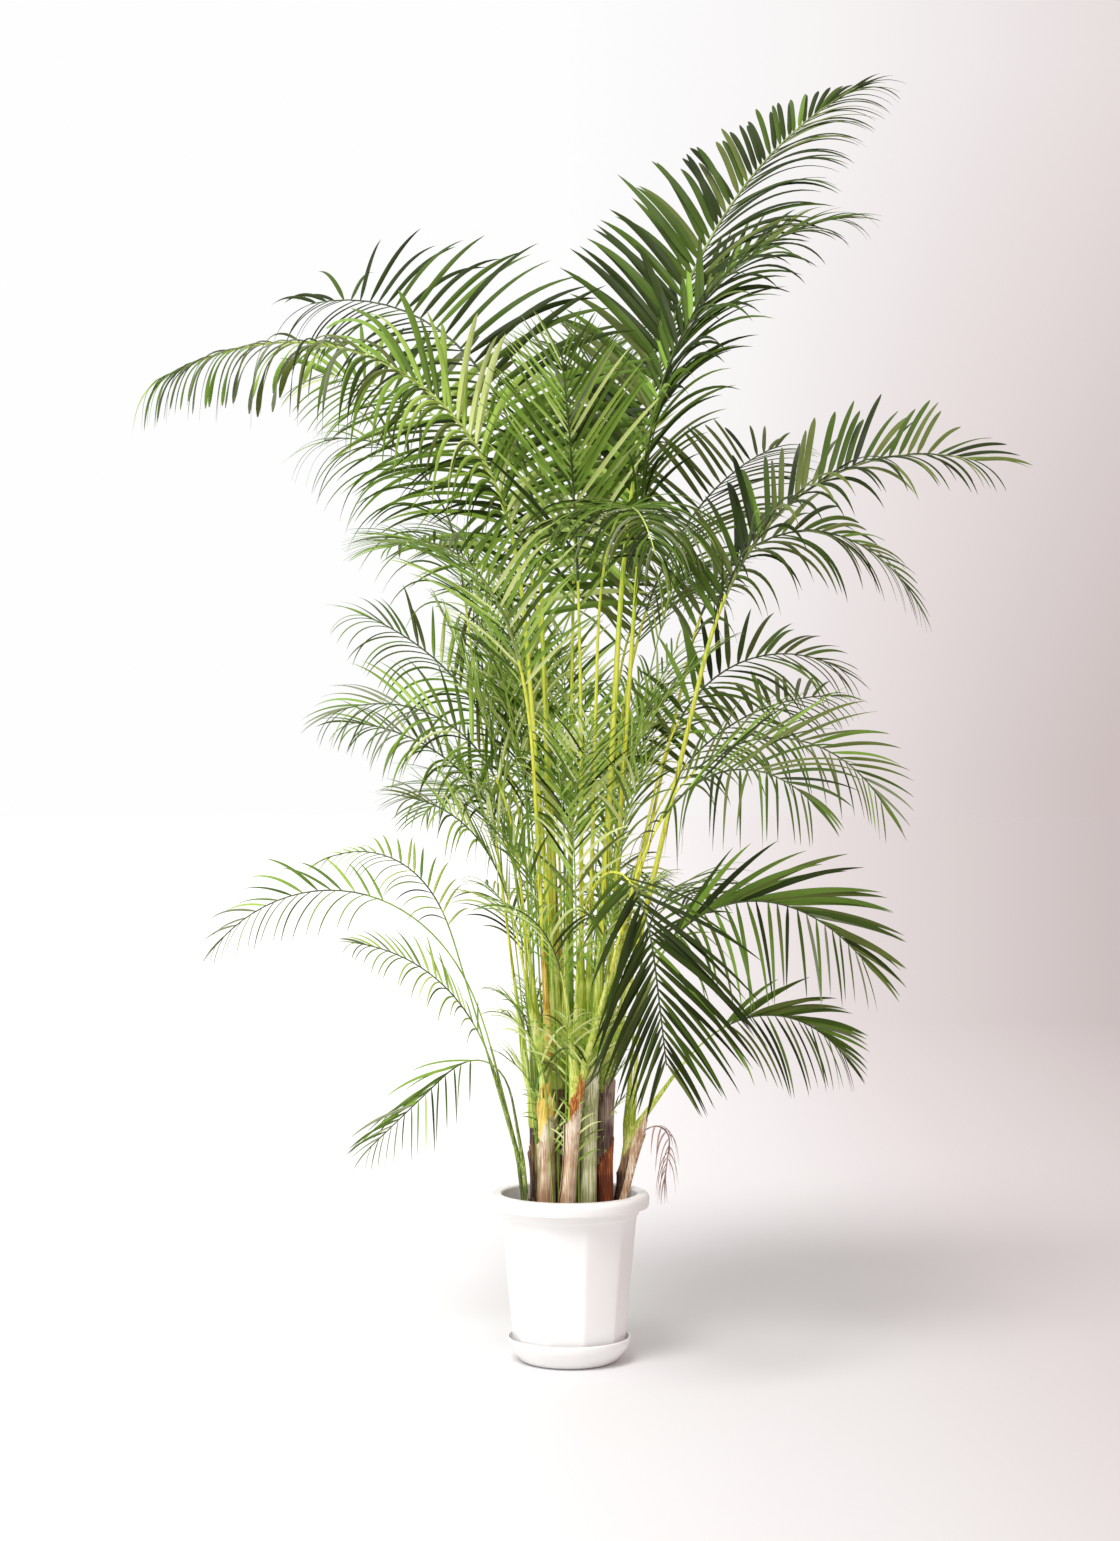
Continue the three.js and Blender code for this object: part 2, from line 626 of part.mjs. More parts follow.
// Every frond's rib first, then its leaflets: one that meets a neighbour is made shorter, and
// in the end left out. A parted frond has two pieces.
function fronds(caneSolids) {
  const grown = new Map();
  for (const [name, frond] of Object.entries(FRONDS)) {
    const rib = ribOf(frond);
    grown.set(name, { frond, rib, solid: solidOf(frondGeometry(frond, rib, [], [0, 1])) });
  }
  for (const [name, made] of grown) {
    const { frond, rib } = made;
    const others = [...caneSolids];
    for (const [other, { solid }] of grown) if (other !== name) others.push(solid);
    const roomy = bladePlace(frond, rib, 2);
    const leaves = [];
    for (let i = 0; i < pairsOf(frond); i++) {
      for (const side of [1, -1]) {
        const scale = LEAF_TRIES.find((share) => {
          const outline = leafOutline(frond, i, side, share, LEAF_CLEARANCE);
          return !meetsAny(solidOf(sheet([outline], roomy)), others);
        });
        if (scale) leaves.push({ i, side, scale });
      }
    }
    made.solid = solidOf(frondGeometry(frond, rib, leaves, [0, 1]));
    made.pieces = stretchesOf(name).map((stretch) => frondGeometry(frond, rib, leaves, stretch));
  }
  return grown;
}

const palm = new THREE.Group();

function place(name, geometry, look) {
  const mesh = new THREE.Mesh(geometry, new THREE.MeshStandardMaterial(look));
  mesh.name = name;
  palm.add(mesh);
}

place("pot", pot(), POT_LOOK);
place("saucer", saucer(), POT_LOOK);
place("soil", soil(), SOIL_LOOK);

const caneSolids = [];
for (const [name, numbers] of Object.entries(CANES)) {
  const geometry = cane(numbers);
  caneSolids.push(solidOf(geometry));
  const color = CANE_COLOURS[numbers.colour];
  place("cane_" + name, geometry, { color, roughness: CANE_ROUGHNESS, metalness: 0 });
}

for (const [name, { frond, pieces }] of fronds(caneSolids)) {
  const color = LEAF_COLOURS[frond.colour];
  pieces.forEach((geometry, k) => {
    const end = k === 0 ? "" : "_tip";
    place("frond_" + name + end, geometry, { color, roughness: LEAF_ROUGHNESS, metalness: 0 });
  });
}

export default palm;
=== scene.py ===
"""Potted areca palm: a clump of canes wrapped in dry sheaths, arching feather fronds with fine
drooping leaflets, and a round white pot in its saucer, on a pale studio floor.
"""

import math

import bmesh
import bpy
import numpy as np
from mathutils import Matrix, Vector, noise


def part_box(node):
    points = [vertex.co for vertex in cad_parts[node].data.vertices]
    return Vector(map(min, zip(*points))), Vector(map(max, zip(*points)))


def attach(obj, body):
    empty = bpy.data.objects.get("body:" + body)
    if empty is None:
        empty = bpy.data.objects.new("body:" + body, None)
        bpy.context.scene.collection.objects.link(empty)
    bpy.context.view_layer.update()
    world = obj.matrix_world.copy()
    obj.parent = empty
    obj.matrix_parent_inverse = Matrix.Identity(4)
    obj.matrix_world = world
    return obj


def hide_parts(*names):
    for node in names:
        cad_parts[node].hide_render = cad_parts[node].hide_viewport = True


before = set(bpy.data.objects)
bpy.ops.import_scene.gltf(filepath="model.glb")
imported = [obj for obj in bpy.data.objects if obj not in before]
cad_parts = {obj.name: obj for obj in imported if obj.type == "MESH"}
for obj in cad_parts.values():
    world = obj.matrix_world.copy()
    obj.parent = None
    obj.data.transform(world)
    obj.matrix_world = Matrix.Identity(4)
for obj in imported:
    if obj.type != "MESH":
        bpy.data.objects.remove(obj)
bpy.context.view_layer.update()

bl_info = {
    "name": "Potted Areca Palm",
    "version": (1, 0, 0),
    "blender": (4, 5, 0),
    "location": "View3D > Sidebar > Palm",
    "description": "Makes a potted areca palm piece by piece, with its studio",
    "category": "Add Mesh",
}

MM = 0.001
UP = np.array([0.0, 0.0, 1.0])

# Where a corner between two flats of the pot stands, in degrees, then heights, radii and walls of
# the pot and its saucer, in millimetres.
POT_CORNER_AT = 285
RIM_HEIGHT = 26
RIM_ROUND = 10
OPENING_R = 125
BODY_TOP_R = 127
BODY_LOW_R = 105
BODY_LOW_Z = 40
FOOT_R = 81
FLAT_FADE = 60
WALL = 3
FLOOR = 4
GAP = 0.3
SAUCER_FOOT_R = 86
SOIL_TOP = 285

# Steps up the pot's body and up the saucer's bowl, rings of the potting mix, and how much lower it
# is along the pot's wall and how high its crumbs are, in metres.
BODY_STEPS = 8
BOWL_STEPS = 12
SOIL_RINGS = 22
SOIL_DROP = 0.001
CRUMB_HEIGHT = 0.0035

# Bark chips: their seed, the range of half their length in metres, and their proportions.
CHIP_SEED = 11
CHIP_HALF = (0.0022, 0.0075)
CHIP_SHAPE = (1, 0.6, 0.28)

# Canes: how much they taper and flare, as shares of the radius, then how deep they stand in the
# potting mix, the height of a step and half the height of a leaf scar, in metres.
CANE_TAPER = 0.12
CANE_FLARE = 0.25
CANE_SUNK = 0.004
CANE_STEP = 0.0042
SCAR_HALF = 0.0022

# Ribs: stations and sides, radius at the tip in millimetres, the share of the cane's radius that
# a rib stands out, and how the leaflets crowd towards the tip.
RIB_STEPS = 40
RIB_SIDES = 10
RIB_TIP_R = 1.1
SEAT_SHARE = 0.66
CROWDING = 0.92

# Sheaths: how far a fresh one reaches up its petiole and how deep an old one is torn, in
# millimetres, then sides, and how far a fresh one goes down its cane and each next one further, in
# metres.
SHEATH_REACH = 210
TEAR = 55
CLASP_SIDES = 14
CLASP_DROP = 0.03
CLASP_LAYER = 0.022

# Leaflets: their angles from the rib low down and at the tip, in degrees, and the power by which the
# one turns to the other; the fold of a blade and the spray of the angles and of the vee, in degrees;
# how far left and right ones alternate, as a share of the pitch; how much shorter a blunt one is.
LEAF_ANGLE_LOW = 54
LEAF_ANGLE_TIP = 24
ANGLE_POWER = 3
LEAF_FOLD = 24
ANGLE_SPRAY = 3.5
VEE_SPRAY = 6.0
STAGGER = 0.17
BLUNT_SHORT = 0.22

# How the lifted side of a rolled frond differs: its leaflets fold to the rib at the tip, droop less
# except where the frond levels out, and are broader and lighter. Then how much lighter leaflets
# are painted in the middle of the crown, as painted light shining through them.
TIP_FOLD = 0.7
SIDE_DROOP = 0.5
LEVEL_DROOP = 0.9
SIDE_BROAD = 0.28
SIDE_TONE = 0.4
PAINTED_LIGHT_TONE = 1.3

# Skins: where the colours stand on the ramp of a streaked and of a soft one, how many times longer
# than wide a streak is, and the height of the darker foot in millimetres.
STREAK_STOPS = (0.3, 0.5, 0.7)
SOFT_STOPS = (0.36, 0.64)
STREAK_STRETCH = 38
DARK_FOOT_HEIGHT = 70

# The studio: the way of the key light, and the distances from the camera, in metres, between which
# the shade on the floor deepens.
KEY_WAY = (0.35, 0.72, -1.2)
SHADE_NEAR = 2.5
SHADE_FAR = 12.0

# Canes: place of the foot, drift of the top per unit of height, height of the top over the floor
# and radius of the foot, all in millimetres.
CANES = {
    "left_shoot": dict(x=-84, y=4, drift=(-0.12, 0.02), top=380, radius=10, colour="green"),
    "left_low": dict(x=-76, y=-48, drift=(-0.1, -0.05), top=370, radius=10, colour="green"),
    "left_back": dict(x=-60, y=52, drift=(-0.04, 0.03), top=500, radius=12, colour="purple"),
    "left_front": dict(x=-43, y=-36, drift=(0, -0.03), top=560, radius=14, colour="tan"),
    "mid_left": dict(x=-24, y=10, drift=(0.02, 0.02), top=600, radius=14, colour="purple"),
    "mid_front": dict(x=-6, y=-66, drift=(0.08, -0.04), top=530, radius=13, colour="tan"),
    "mid_back": dict(x=-10, y=70, drift=(0, 0.06), top=560, radius=14, colour="russet"),
    "centre": dict(x=20, y=16, drift=(0.02, 0), top=620, radius=14, colour="green"),
    "right_front": dict(x=34, y=-40, drift=(0.03, -0.03), top=580, radius=14, colour="green"),
    "right_back": dict(x=42, y=62, drift=(0.04, 0.04), top=600, radius=14, colour="purple"),
    "right_main": dict(x=66, y=-4, drift=(0.02, 0), top=570, radius=14, colour="russet"),
    "right_shoot": dict(x=92, y=28, drift=(0.16, 0.05), top=420, radius=11, colour="purple"),
    "dry_stub": dict(x=95, y=-32, drift=(0.25, -0.05), top=430, radius=7, colour="tan"),
}

FROND_KEYS = ("cane", "seat", "heading", "length", "lean", "bend", "bare", "leaf", "roll", "vee",
              "droop", "colour")

# Fronds: cane, seat and heading in degrees, length, lean at the foot and at the tip, the shares
# between which it bends over, the bare share, the longest leaflet, roll, vee, droop and colour.
FRONDS = {
    "tall_right": ("right_front", 60, 35, 2085, (4, 86), (0.31, 1.38), 0.46, 285, 22, 15, 0.32, "dark"),
    "tall_right_front": ("right_main", 215, 6, 1715, (4, 112), (0.56, 1.27), 0.48, 320, 15, 20, 0.4,
                         "dark"),
    "tall_left": ("mid_left", 160, 150, 1730, (2, 125), (0.43, 1.25), 0.53, 300, -55, 15, 0.5, "dark"),
    "long_left": ("mid_left", 265, 200, 1780, (5, 125), (0.4, 1.07), 0.52, 300, -45, 20, 0.85, "pale"),
    "long_right": ("right_main", 330, 337, 1445, (14, 120), (0.46, 1.15), 0.56, 270, 28, 25, 0.35,
                   "dark"),
    "arch_right": ("right_back", 340, 5, 1336, (13, 150), (0.52, 1.05), 0.56, 240, 22, 18, 0.55, "mid"),
    "tall_left_back": ("mid_back", 270, 157, 1560, (3, 109), (0.39, 1.27), 0.53, 290, -58, 15, 0.3,
                       "bright"),
    "tall_back_right": ("right_back", 215, 46, 1370, (7, 85), (0.28, 1.25), 0.55, 260, 20, 25, 0.25,
                        "mid"),
    "upright_front": ("centre", 250, 262, 1280, (1, 60), (0.3, 1.35), 0.6, 270, 0, 25, 0.1, "bright"),
    "upright_back": ("mid_back", 0, 80, 1620, (3, 85), (0.38, 1.23), 0.6, 300, 0, 25, 0.15, "mid"),
    "arch_front_right": ("centre", 20, 283, 1280, (6, 142), (0.5, 1.05), 0.68, 230, 0, 20, 0.9, "mid"),
    "arch_front_left": ("left_front", 315, 240, 1250, (6, 115), (0.38, 1.12), 0.55, 240, 0, 20, 0.2,
                        "bright"),
    "arch_back_right": ("right_back", 90, 70, 1270, (8, 115), (0.32, 1.1), 0.58, 260, 0, 25, 0.2,
                        "mid"),
    "arch_back_left": ("mid_back", 180, 115, 1320, (5, 110), (0.38, 1.12), 0.58, 260, 0, 25, 0.2,
                       "mid"),
    "thin_left": ("left_back", 180, 159, 1425, (8, 122), (0.65, 1.13), 0.61, 290, -30, 15, 0.6,
                  "bright"),
    "mid_right_1": ("right_front", 330, 14, 1005, (13, 137), (0.45, 1.17), 0.58, 200, 30, 12, 0.4,
                    "mid"),
    "mid_right_2": ("right_main", 90, 18, 925, (8, 108), (0.18, 1.27), 0.57, 170, 30, 12, 0.4, "mid"),
    "mid_right_3": ("right_front", 215, 338, 975, (17, 165), (0.31, 1.17), 0.53, 200, 30, 12, 0.35,
                    "mid"),
    "mid_right_4": ("mid_front", 10, 315, 910, (20, 147), (0.34, 1.2), 0.53, 230, 30, 12, 0.5, "dark"),
    "low_right": ("right_shoot", 300, 349, 795, (4, 142), (0.16, 1.06), 0.45, 250, 52, 20, 0.3, "dark"),
    "lowest_right": ("right_shoot", 30, 14, 540, (38, 147), (0.19, 1.12), 0.46, 180, 52, 15, 0.3,
                     "dark"),
    "dark_front": ("mid_front", 130, 294, 890, (5, 165), (0.18, 0.83), 0.57, 280, 0, 10, 0.15, "dark"),
    "mid_left_1": ("left_back", 60, 174, 1020, (2, 86), (0.29, 1.29), 0.58, 220, -30, 12, 0.5, "mid"),
    "mid_left_2": ("left_front", 135, 186, 880, (7, 140), (0.38, 1.26), 0.56, 220, -30, 12, 0.5, "mid"),
    "mid_left_3": ("left_back", 300, 199, 855, (4, 101), (0.27, 1.25), 0.55, 200, -30, 12, 0.5, "mid"),
    "mid_left_4": ("left_front", 225, 211, 600, (13, 103), (0.36, 1.3), 0.48, 180, -30, 12, 0.5, "mid"),
    "low_left_1": ("left_shoot", 275, 182, 910, (14, 162), (0.16, 1.25), 0.6, 140, -30, 12, 0.5, "mid"),
    "low_left_2": ("left_shoot", 95, 160, 790, (18, 126), (0.48, 1.1), 0.56, 105, -20, 10, 0.5,
                   "bright"),
    "low_left_3": ("left_low", 130, 200, 565, (16, 95), (0.17, 1.29), 0.45, 110, -30, 12, 0.5,
                   "bright"),
    "low_left_4": ("left_low", 280, 217, 520, (12, 126), (0.19, 0.64), 0.47, 150, -15, 15, 0.4, "mid"),
    "mid_back": ("mid_back", 90, 95, 880, (12, 130), (0.22, 1.08), 0.56, 230, 0, 25, 0.3, "mid"),
    "mid_back_left": ("mid_left", 70, 125, 780, (15, 125), (0.22, 1.1), 0.56, 210, 0, 25, 0.3, "mid"),
    "low_back_right": ("right_shoot", 150, 70, 740, (14, 120), (0.22, 1.1), 0.42, 210, 0, 25, 0.3,
                       "dark"),
    "young_back": ("centre", 135, 85, 690, (2, 45), (0.22, 1.2), 0.5, 180, 0, 25, 0.15, "bright"),
    "young_front": ("mid_left", 350, 285, 650, (3, 60), (0.22, 1.2), 0.5, 160, 0, 25, 0.15, "bright"),
    "small_front": ("mid_front", 250, 235, 440, (10, 95), (0.2, 1.2), 0.4, 150, 0, 20, 0.35, "bright"),
    "dry": ("dry_stub", 0, 340, 150, (55, 188), (0.0, 0.55), 0.15, 110, 0, 0, 0.9, "dry"),
}

LOOK_KEYS = ("left", "right", "tip", "broad", "close", "tone", "olive", "sheen", "stout", "rib",
             "blunt", "level")

# How each frond looks: how widely its left and right leaflets spread, and those of its lifted side
# at the tip, how broad they are and how far apart they stand, each as a share of the usual; their
# tone, from 0 for the darkest to 5 for lime; the shares of them that are olive or that are painted
# grey as a painted reflection of the sky; how stout the rib is and its kind in RIB_COLOURS; the share
# of the blade from which the lifted leaflets are short and blunt, 0 for none; and the share of the
# roll that is lost at the tip.
FROND_LOOKS = {
    "tall_right": (0.98, 0.6, 1.1, 0.92, 0.62, 0.1, 0.1, 0, 1.25, "dull", 0.45, 0),
    "tall_right_front": (1.0, 0.75, 1.0, 0.9, 0.62, 0.5, 0.2, 0, 1.1, "dull", 0, 0),
    "tall_left": (0.9, 1.55, 4.6, 0.75, 0.8, 0.0, 0.1, 0, 1.0, "turning", 0, 0.1),
    "long_left": (1.0, 1.0, 1.6, 0.9, 0.62, 2.4, 0.15, 0.2, 1.1, "gold", 0.1, 1),
    "long_right": (1.2, 0.8, 3.8, 1.0, 0.68, 0.2, 0.3, 0, 1.2, "dull", 0.08, 0),
    "arch_right": (1.0, 0.95, 1.8, 0.9, 0.8, 0.5, 0.4, 0.05, 0.8, "turning", 0.1, 0),
    "tall_left_back": (1.0, 1.7, 3.4, 0.8, 0.65, 2.4, 0.1, 0.05, 0.95, "gold", 0.15, 0),
    "tall_back_right": (1.25, 0.9, 3.2, 0.85, 0.85, 0.9, 0.7, 0, 0.8, "turning", 0.1, 0),
    "upright_front": (0.75, 0.75, 1.0, 0.62, 0.62, 1.9, 0, 0.05, 0.8, "turning", 0, 0),
    "upright_back": (0.8, 0.8, 1.0, 0.5, 0.6, 1.7, 0.2, 0, 0.8, "gold", 0, 0),
    "arch_front_right": (1.35, 1.35, 1.0, 0.6, 0.42, 0.9, 0.1, 0.1, 0.8, "gold", 0, 0),
    "arch_front_left": (0.85, 0.85, 1.0, 0.65, 0.65, 2.3, 0, 0.05, 0.8, "dull", 0, 0),
    "arch_back_right": (0.85, 0.85, 1.0, 0.55, 0.75, 1.2, 0.3, 0, 0.7, "turning", 0, 0),
    "arch_back_left": (0.85, 0.85, 1.0, 0.55, 0.75, 1.9, 0.2, 0, 0.7, "turning", 0, 0),
    "thin_left": (1.0, 1.0, 1.0, 0.4, 1.1, 1.8, 0, 0.15, 0.6, "turning", 0, 0),
    "mid_right_1": (1.1, 1.0, 1.0, 0.8, 0.85, 0.8, 0.4, 0, 0.6, "turning", 0, 0),
    "mid_right_2": (1.5, 1.0, 1.3, 0.9, 0.85, 1.4, 0.5, 0.1, 0.6, "turning", 0.1, 0),
    "mid_right_3": (1.1, 1.0, 1.0, 0.75, 0.85, 1.4, 0.5, 0.15, 0.6, "turning", 0, 0),
    "mid_right_4": (1.0, 1.1, 1.0, 0.75, 0.85, 0.9, 0.3, 0, 0.6, "turning", 0, 0),
    "low_right": (0.3, 1.45, 1.0, 0.8, 0.75, 1.0, 0.3, 0.1, 0.6, "green", 0, 0),
    "lowest_right": (0.3, 1.45, 1.0, 0.8, 0.7, 0.9, 0.3, 0.05, 0.5, "green", 0, 0),
    "dark_front": (0.8, 0.8, 1.0, 0.78, 0.56, 0.1, 0.05, 0, 0.6, "turning", 0, 0),
    "mid_left_1": (1.0, 1.1, 1.0, 0.65, 0.8, 2.3, 0.2, 0.15, 0.7, "turning", 0, 0),
    "mid_left_2": (1.0, 1.0, 1.0, 0.65, 0.8, 2.3, 0.2, 0.15, 0.7, "turning", 0, 0),
    "mid_left_3": (1.0, 1.3, 1.0, 0.75, 0.8, 2.3, 0.2, 0.15, 0.7, "turning", 0, 0),
    "mid_left_4": (1.0, 1.0, 1.0, 0.8, 0.8, 2.3, 0.2, 0.1, 0.6, "turning", 0, 0),
    "low_left_1": (1.0, 1.0, 1.0, 0.6, 1.2, 2.3, 0.1, 0.3, 0.45, "green", 0, 0),
    "low_left_2": (1.0, 1.0, 1.0, 0.65, 1.0, 3.3, 0, 0.1, 0.45, "green", 0, 0),
    "low_left_3": (1.0, 1.0, 1.0, 0.8, 0.9, 3.0, 0, 0.1, 0.45, "green", 0, 0),
    "low_left_4": (1.0, 0.38, 1.6, 0.6, 0.9, 1.2, 0.1, 0.3, 0.45, "green", 0, 0),
    "mid_back": (0.9, 0.9, 1.0, 0.55, 0.8, 2.4, 0.2, 0, 0.6, "turning", 0, 0),
    "mid_back_left": (0.9, 0.9, 1.0, 0.55, 0.8, 2.4, 0.1, 0, 0.6, "turning", 0, 0),
    "low_back_right": (1.0, 1.0, 1.0, 0.8, 1.0, 1.4, 0.3, 0, 0.5, "green", 0, 0),
    "young_back": (0.8, 0.8, 1.0, 0.8, 1.0, 2.8, 0, 0, 0.5, "turning", 0, 0),
    "young_front": (0.75, 0.75, 1.0, 0.6, 0.8, 2.2, 0, 0, 0.45, "lime", 0, 0),
    "small_front": (0.8, 0.8, 1.0, 0.6, 0.8, 2.0, 0, 0, 0.45, "green", 0, 0),
    "dry": (1.5, 1.5, 1.0, 0.5, 0.6, 0, 0, 0, 0.6, "dry", 0, 0),
}

# The share of the plain radius of a cane that shows, and the canes of which another share does.
PLAIN_SLIM = 0.86
SLIM_CANES = dict(left_shoot=0.42, left_low=0.42, right_shoot=0.75, dry_stub=0.8)

# Fresh shoots between the canes: how many, the ranges of their length, bare share, longest leaflet
# and lean at the tip, then whether they stand behind the canes. Then the turn from one to the next
# in degrees, and how far out they stand, in metres.
SHOOTS = (
    (9, (180, 330), (0.35, 0.5), (50, 90), (20, 70), False),
    (12, (300, 560), (0.5, 0.65), (80, 130), (30, 80), False),
    (16, (620, 920), (0.66, 0.8), (90, 170), (15, 80), False),
    (24, (880, 1280), (0.66, 0.82), (110, 200), (10, 70), True),
)
SHOOT_TURN = 137.5
SHOOTS_REACH = 0.06
SHOOT_LOOK = (0.7, 0.7, 1.0, 0.7, 0.95, 2.8, 0.1, 0, 0.35, "lime", 0, 0)

CANES = {name: dict(cane, slim=SLIM_CANES.get(name, PLAIN_SLIM)) for name, cane in CANES.items()}
FRONDS = {
    name: dict(zip(FROND_KEYS, values), **dict(zip(LOOK_KEYS, FROND_LOOKS[name])))
    for name, values in FRONDS.items()
}

# Old sheaths round the canes: cane, lower and upper end over the floor in millimetres, where the
# sheath starts and how far it goes round in degrees, and its look.
OLD_SHEATHS = (
    ("left_front", 286, 462, 200, 300, "straw"),
    ("left_front", 418, 520, 150, 250, "gold"),
    ("left_back", 286, 440, 210, 280, "brown"),
    ("mid_left", 286, 490, 190, 310, "brown"),
    ("mid_front", 286, 500, 215, 310, "straw"),
    ("mid_front", 430, 545, 235, 200, "orange"),
    ("mid_back", 286, 500, 180, 300, "brown"),
    ("centre", 286, 470, 200, 290, "plum"),
    ("centre", 440, 600, 230, 300, "pale"),
    ("right_front", 286, 560, 205, 310, "pale"),
    ("right_back", 286, 540, 190, 300, "brown"),
    ("right_main", 286, 415, 205, 320, "russet"),
    ("right_main", 380, 530, 185, 310, "plum"),
    ("right_shoot", 286, 400, 200, 250, "brown"),
    ("dry_stub", 300, 462, 190, 230, "straw"),
)

# The record's slot of each look of sheath.
SHEATH_SLOTS = dict(fresh="cane_green", moss="cane_green", pale="cane_green", straw="cane_tan",
                    gold="cane_tan", orange="cane_russet", russet="cane_russet",
                    brown="cane_purple", plum="cane_purple")
# Colours of the petiole and of the rachis above it, and the record's slot of each.
RIB_COLOURS = dict(gold=("gold", "pale"), dull=("gold", "dull"), turning=("gold", "dark"),
                   green=("green", "dark"), lime=("green", "green"), dry=("dry", "dry"))
RIB_SLOTS = dict(gold="leaf_bright", pale="leaf_bright", dull="leaf_mid", green="leaf_mid",
                 dark="leaf_dark", dry="leaf_dry")
# Canes whose outermost fresh sheath has turned gold, and those whose sheaths are mossy green.
GOLD_CANES = ("left_front", "mid_back")
MOSS_CANES = ("left_shoot", "left_low")

# Leaf tones from the darkest to the lightest, then olive, a grey that paints the sky mirrored in
# the leaves as a painted reflection, and the dry leaf, each with the record's slot that it
# belongs to.
TONE_SLOTS = dict(deep="leaf_dark", dark="leaf_dark", mid="leaf_mid", fresh="leaf_mid",
                  bright="leaf_bright", lime="leaf_bright", olive="leaf_mid", sheen="leaf_pale",
                  dry="leaf_dry")
LEAF_TONES = tuple(TONE_SLOTS)


class PalmPotSizes(bpy.types.PropertyGroup):
    """Sizes and colour of the pot, its saucer and what fills it."""

    rim_radius: bpy.props.FloatProperty(
        name="Rim radius", description="Outer radius of the pot's rim", default=0.15, unit="LENGTH")
    rim_top: bpy.props.FloatProperty(
        name="Rim height", description="Height of the rim over the floor",
        default=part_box("pot")[1].z, unit="LENGTH")
    flats: bpy.props.IntProperty(
        name="Flats", description="Soft flats round the pot's body", default=10)
    flat_depth: bpy.props.FloatProperty(
        name="Flat depth", description="Share of the radius that a flat is drawn in", default=0.036)
    saucer_radius: bpy.props.FloatProperty(
        name="Saucer radius", description="Outer radius of the saucer's rim", default=0.115,
        unit="LENGTH")
    saucer_height: bpy.props.FloatProperty(
        name="Saucer height", description="Height of the saucer's rim",
        default=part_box("saucer")[1].z, unit="LENGTH")
    white: bpy.props.StringProperty(
        name="Plastic", description="Colour of the pot's plastic, as sRGB hex", default="f6f5f4")
    bark_chips: bpy.props.IntProperty(
        name="Bark chips", description="Chips of bark on the potting mix", default=900)


class PalmCaneSizes(bpy.types.PropertyGroup):
    """Sizes of the canes and of the sheaths that wrap them."""

    ring_spacing: bpy.props.FloatProperty(
        name="Ring spacing", description="Height between two leaf scars on a cane", default=0.046,
        unit="LENGTH")
    ring_height: bpy.props.FloatProperty(
        name="Ring ridge", description="How far a leaf scar stands out", default=0.0009, unit="LENGTH")
    sheath_thickness: bpy.props.FloatProperty(
        name="Sheath thickness", description="Thickness of a leaf's sheath", default=0.0011,
        unit="LENGTH")
    rib_swell: bpy.props.FloatProperty(
        name="Rib swell", description="Thickness of the ribs, as a share of the plain ribs",
        default=1.05)


class PalmLeafletSizes(bpy.types.PropertyGroup):
    """Sizes of the leaflets and how they hang."""

    least_pitch: bpy.props.FloatProperty(
        name="Least pitch", description="Distance between the leaflets of a frond of no length",
        default=0.013, unit="LENGTH")
    pitch_share: bpy.props.FloatProperty(
        name="Pitch share", description="Pitch gained per length of leaflet", default=0.052)
    least_width: bpy.props.FloatProperty(
        name="Least width", description="Width of a leaflet of no length", default=0.003,
        unit="LENGTH")
    width_share: bpy.props.FloatProperty(
        name="Width share", description="Width gained per length of leaflet", default=0.045)
    thickness: bpy.props.FloatProperty(
        name="Thickness", description="Thickness over the midrib", default=0.0011, unit="LENGTH")
    segments: bpy.props.IntProperty(
        name="Segments", description="Divisions along a leaflet", default=13)
    seed: bpy.props.IntProperty(
        name="Seed", description="Seed of the leaflets' variation", default=7)


class PalmStageLight(bpy.types.PropertyGroup):
    """Light, floor and camera of the studio."""

    sun_strength: bpy.props.FloatProperty(
        name="Key light", description="Strength of the key light", default=2.1)
    sun_softness: bpy.props.FloatProperty(
        name="Key softness", description="Angle that the key light fills",
        default=math.radians(24), subtype="ANGLE")
    sky_strength: bpy.props.FloatProperty(
        name="Fill light", description="Strength of the light from all round", default=1.0)
    lens: bpy.props.FloatProperty(
        name="Lens", description="Focal length on a 36 mm frame", default=62.7,
        subtype="DISTANCE_CAMERA")
    camera_distance: bpy.props.FloatProperty(
        name="Camera distance", description="Distance in front of the pot's axis", default=5.0,
        unit="LENGTH")
    camera_height: bpy.props.FloatProperty(
        name="Camera height", description="Height over the floor", default=1.098, unit="LENGTH")
    camera_side: bpy.props.FloatProperty(
        name="Camera side", description="Place to the right of the pot's axis", default=-0.0168,
        unit="LENGTH")


def linear(code):
    """An sRGB hex colour as linear red, green, blue and alpha."""
    parts = [int(code[i : i + 2], 16) / 255 for i in (0, 2, 4)]
    return [((c + 0.055) / 1.055) ** 2.4 if c > 0.04045 else c / 12.92 for c in parts] + [1.0]


def lerp(low, high, share):
    """The value that lies a share of the way from low to high."""
    return low + (high - low) * share


def smoothstep(value, low, high):
    """A share that eases from 0 at low to 1 at high."""
    share = np.clip((value - low) / (high - low), 0, 1)
    return share * share * (3 - 2 * share)


def unit(vectors):
    """Vectors brought to a length of one."""
    return vectors / np.linalg.norm(vectors, axis=-1, keepdims=True)


def plug(made, **inputs):
    """Feeds inputs of a node from a socket, from the first output of a node, or with a value."""
    for key, value in inputs.items():
        socket = made.inputs[int(key[1:]) if key[1:].isdigit() else key.replace("_", " ")]
        if isinstance(value, bpy.types.Node):
            value = value.outputs[0]
        if isinstance(value, bpy.types.NodeSocket):
            made.id_data.links.new(value, socket)
        else:
            socket.default_value = value


def node(tree, kind, settings=None, **inputs):
    """Adds a node with its settings, of which stops are those of a colour ramp, and feeds it."""
    made = tree.nodes.new(kind)
    for key, value in (settings or {}).items():
        if key != "stops":
            setattr(made, key, value)
            continue
        elements = made.color_ramp.elements
        while len(elements) < len(value):
            elements.new(0.5)
        for element, (position, code) in zip(elements, value):
            element.position = position
            element.color = linear(code)
    plug(made, **inputs)
    return made


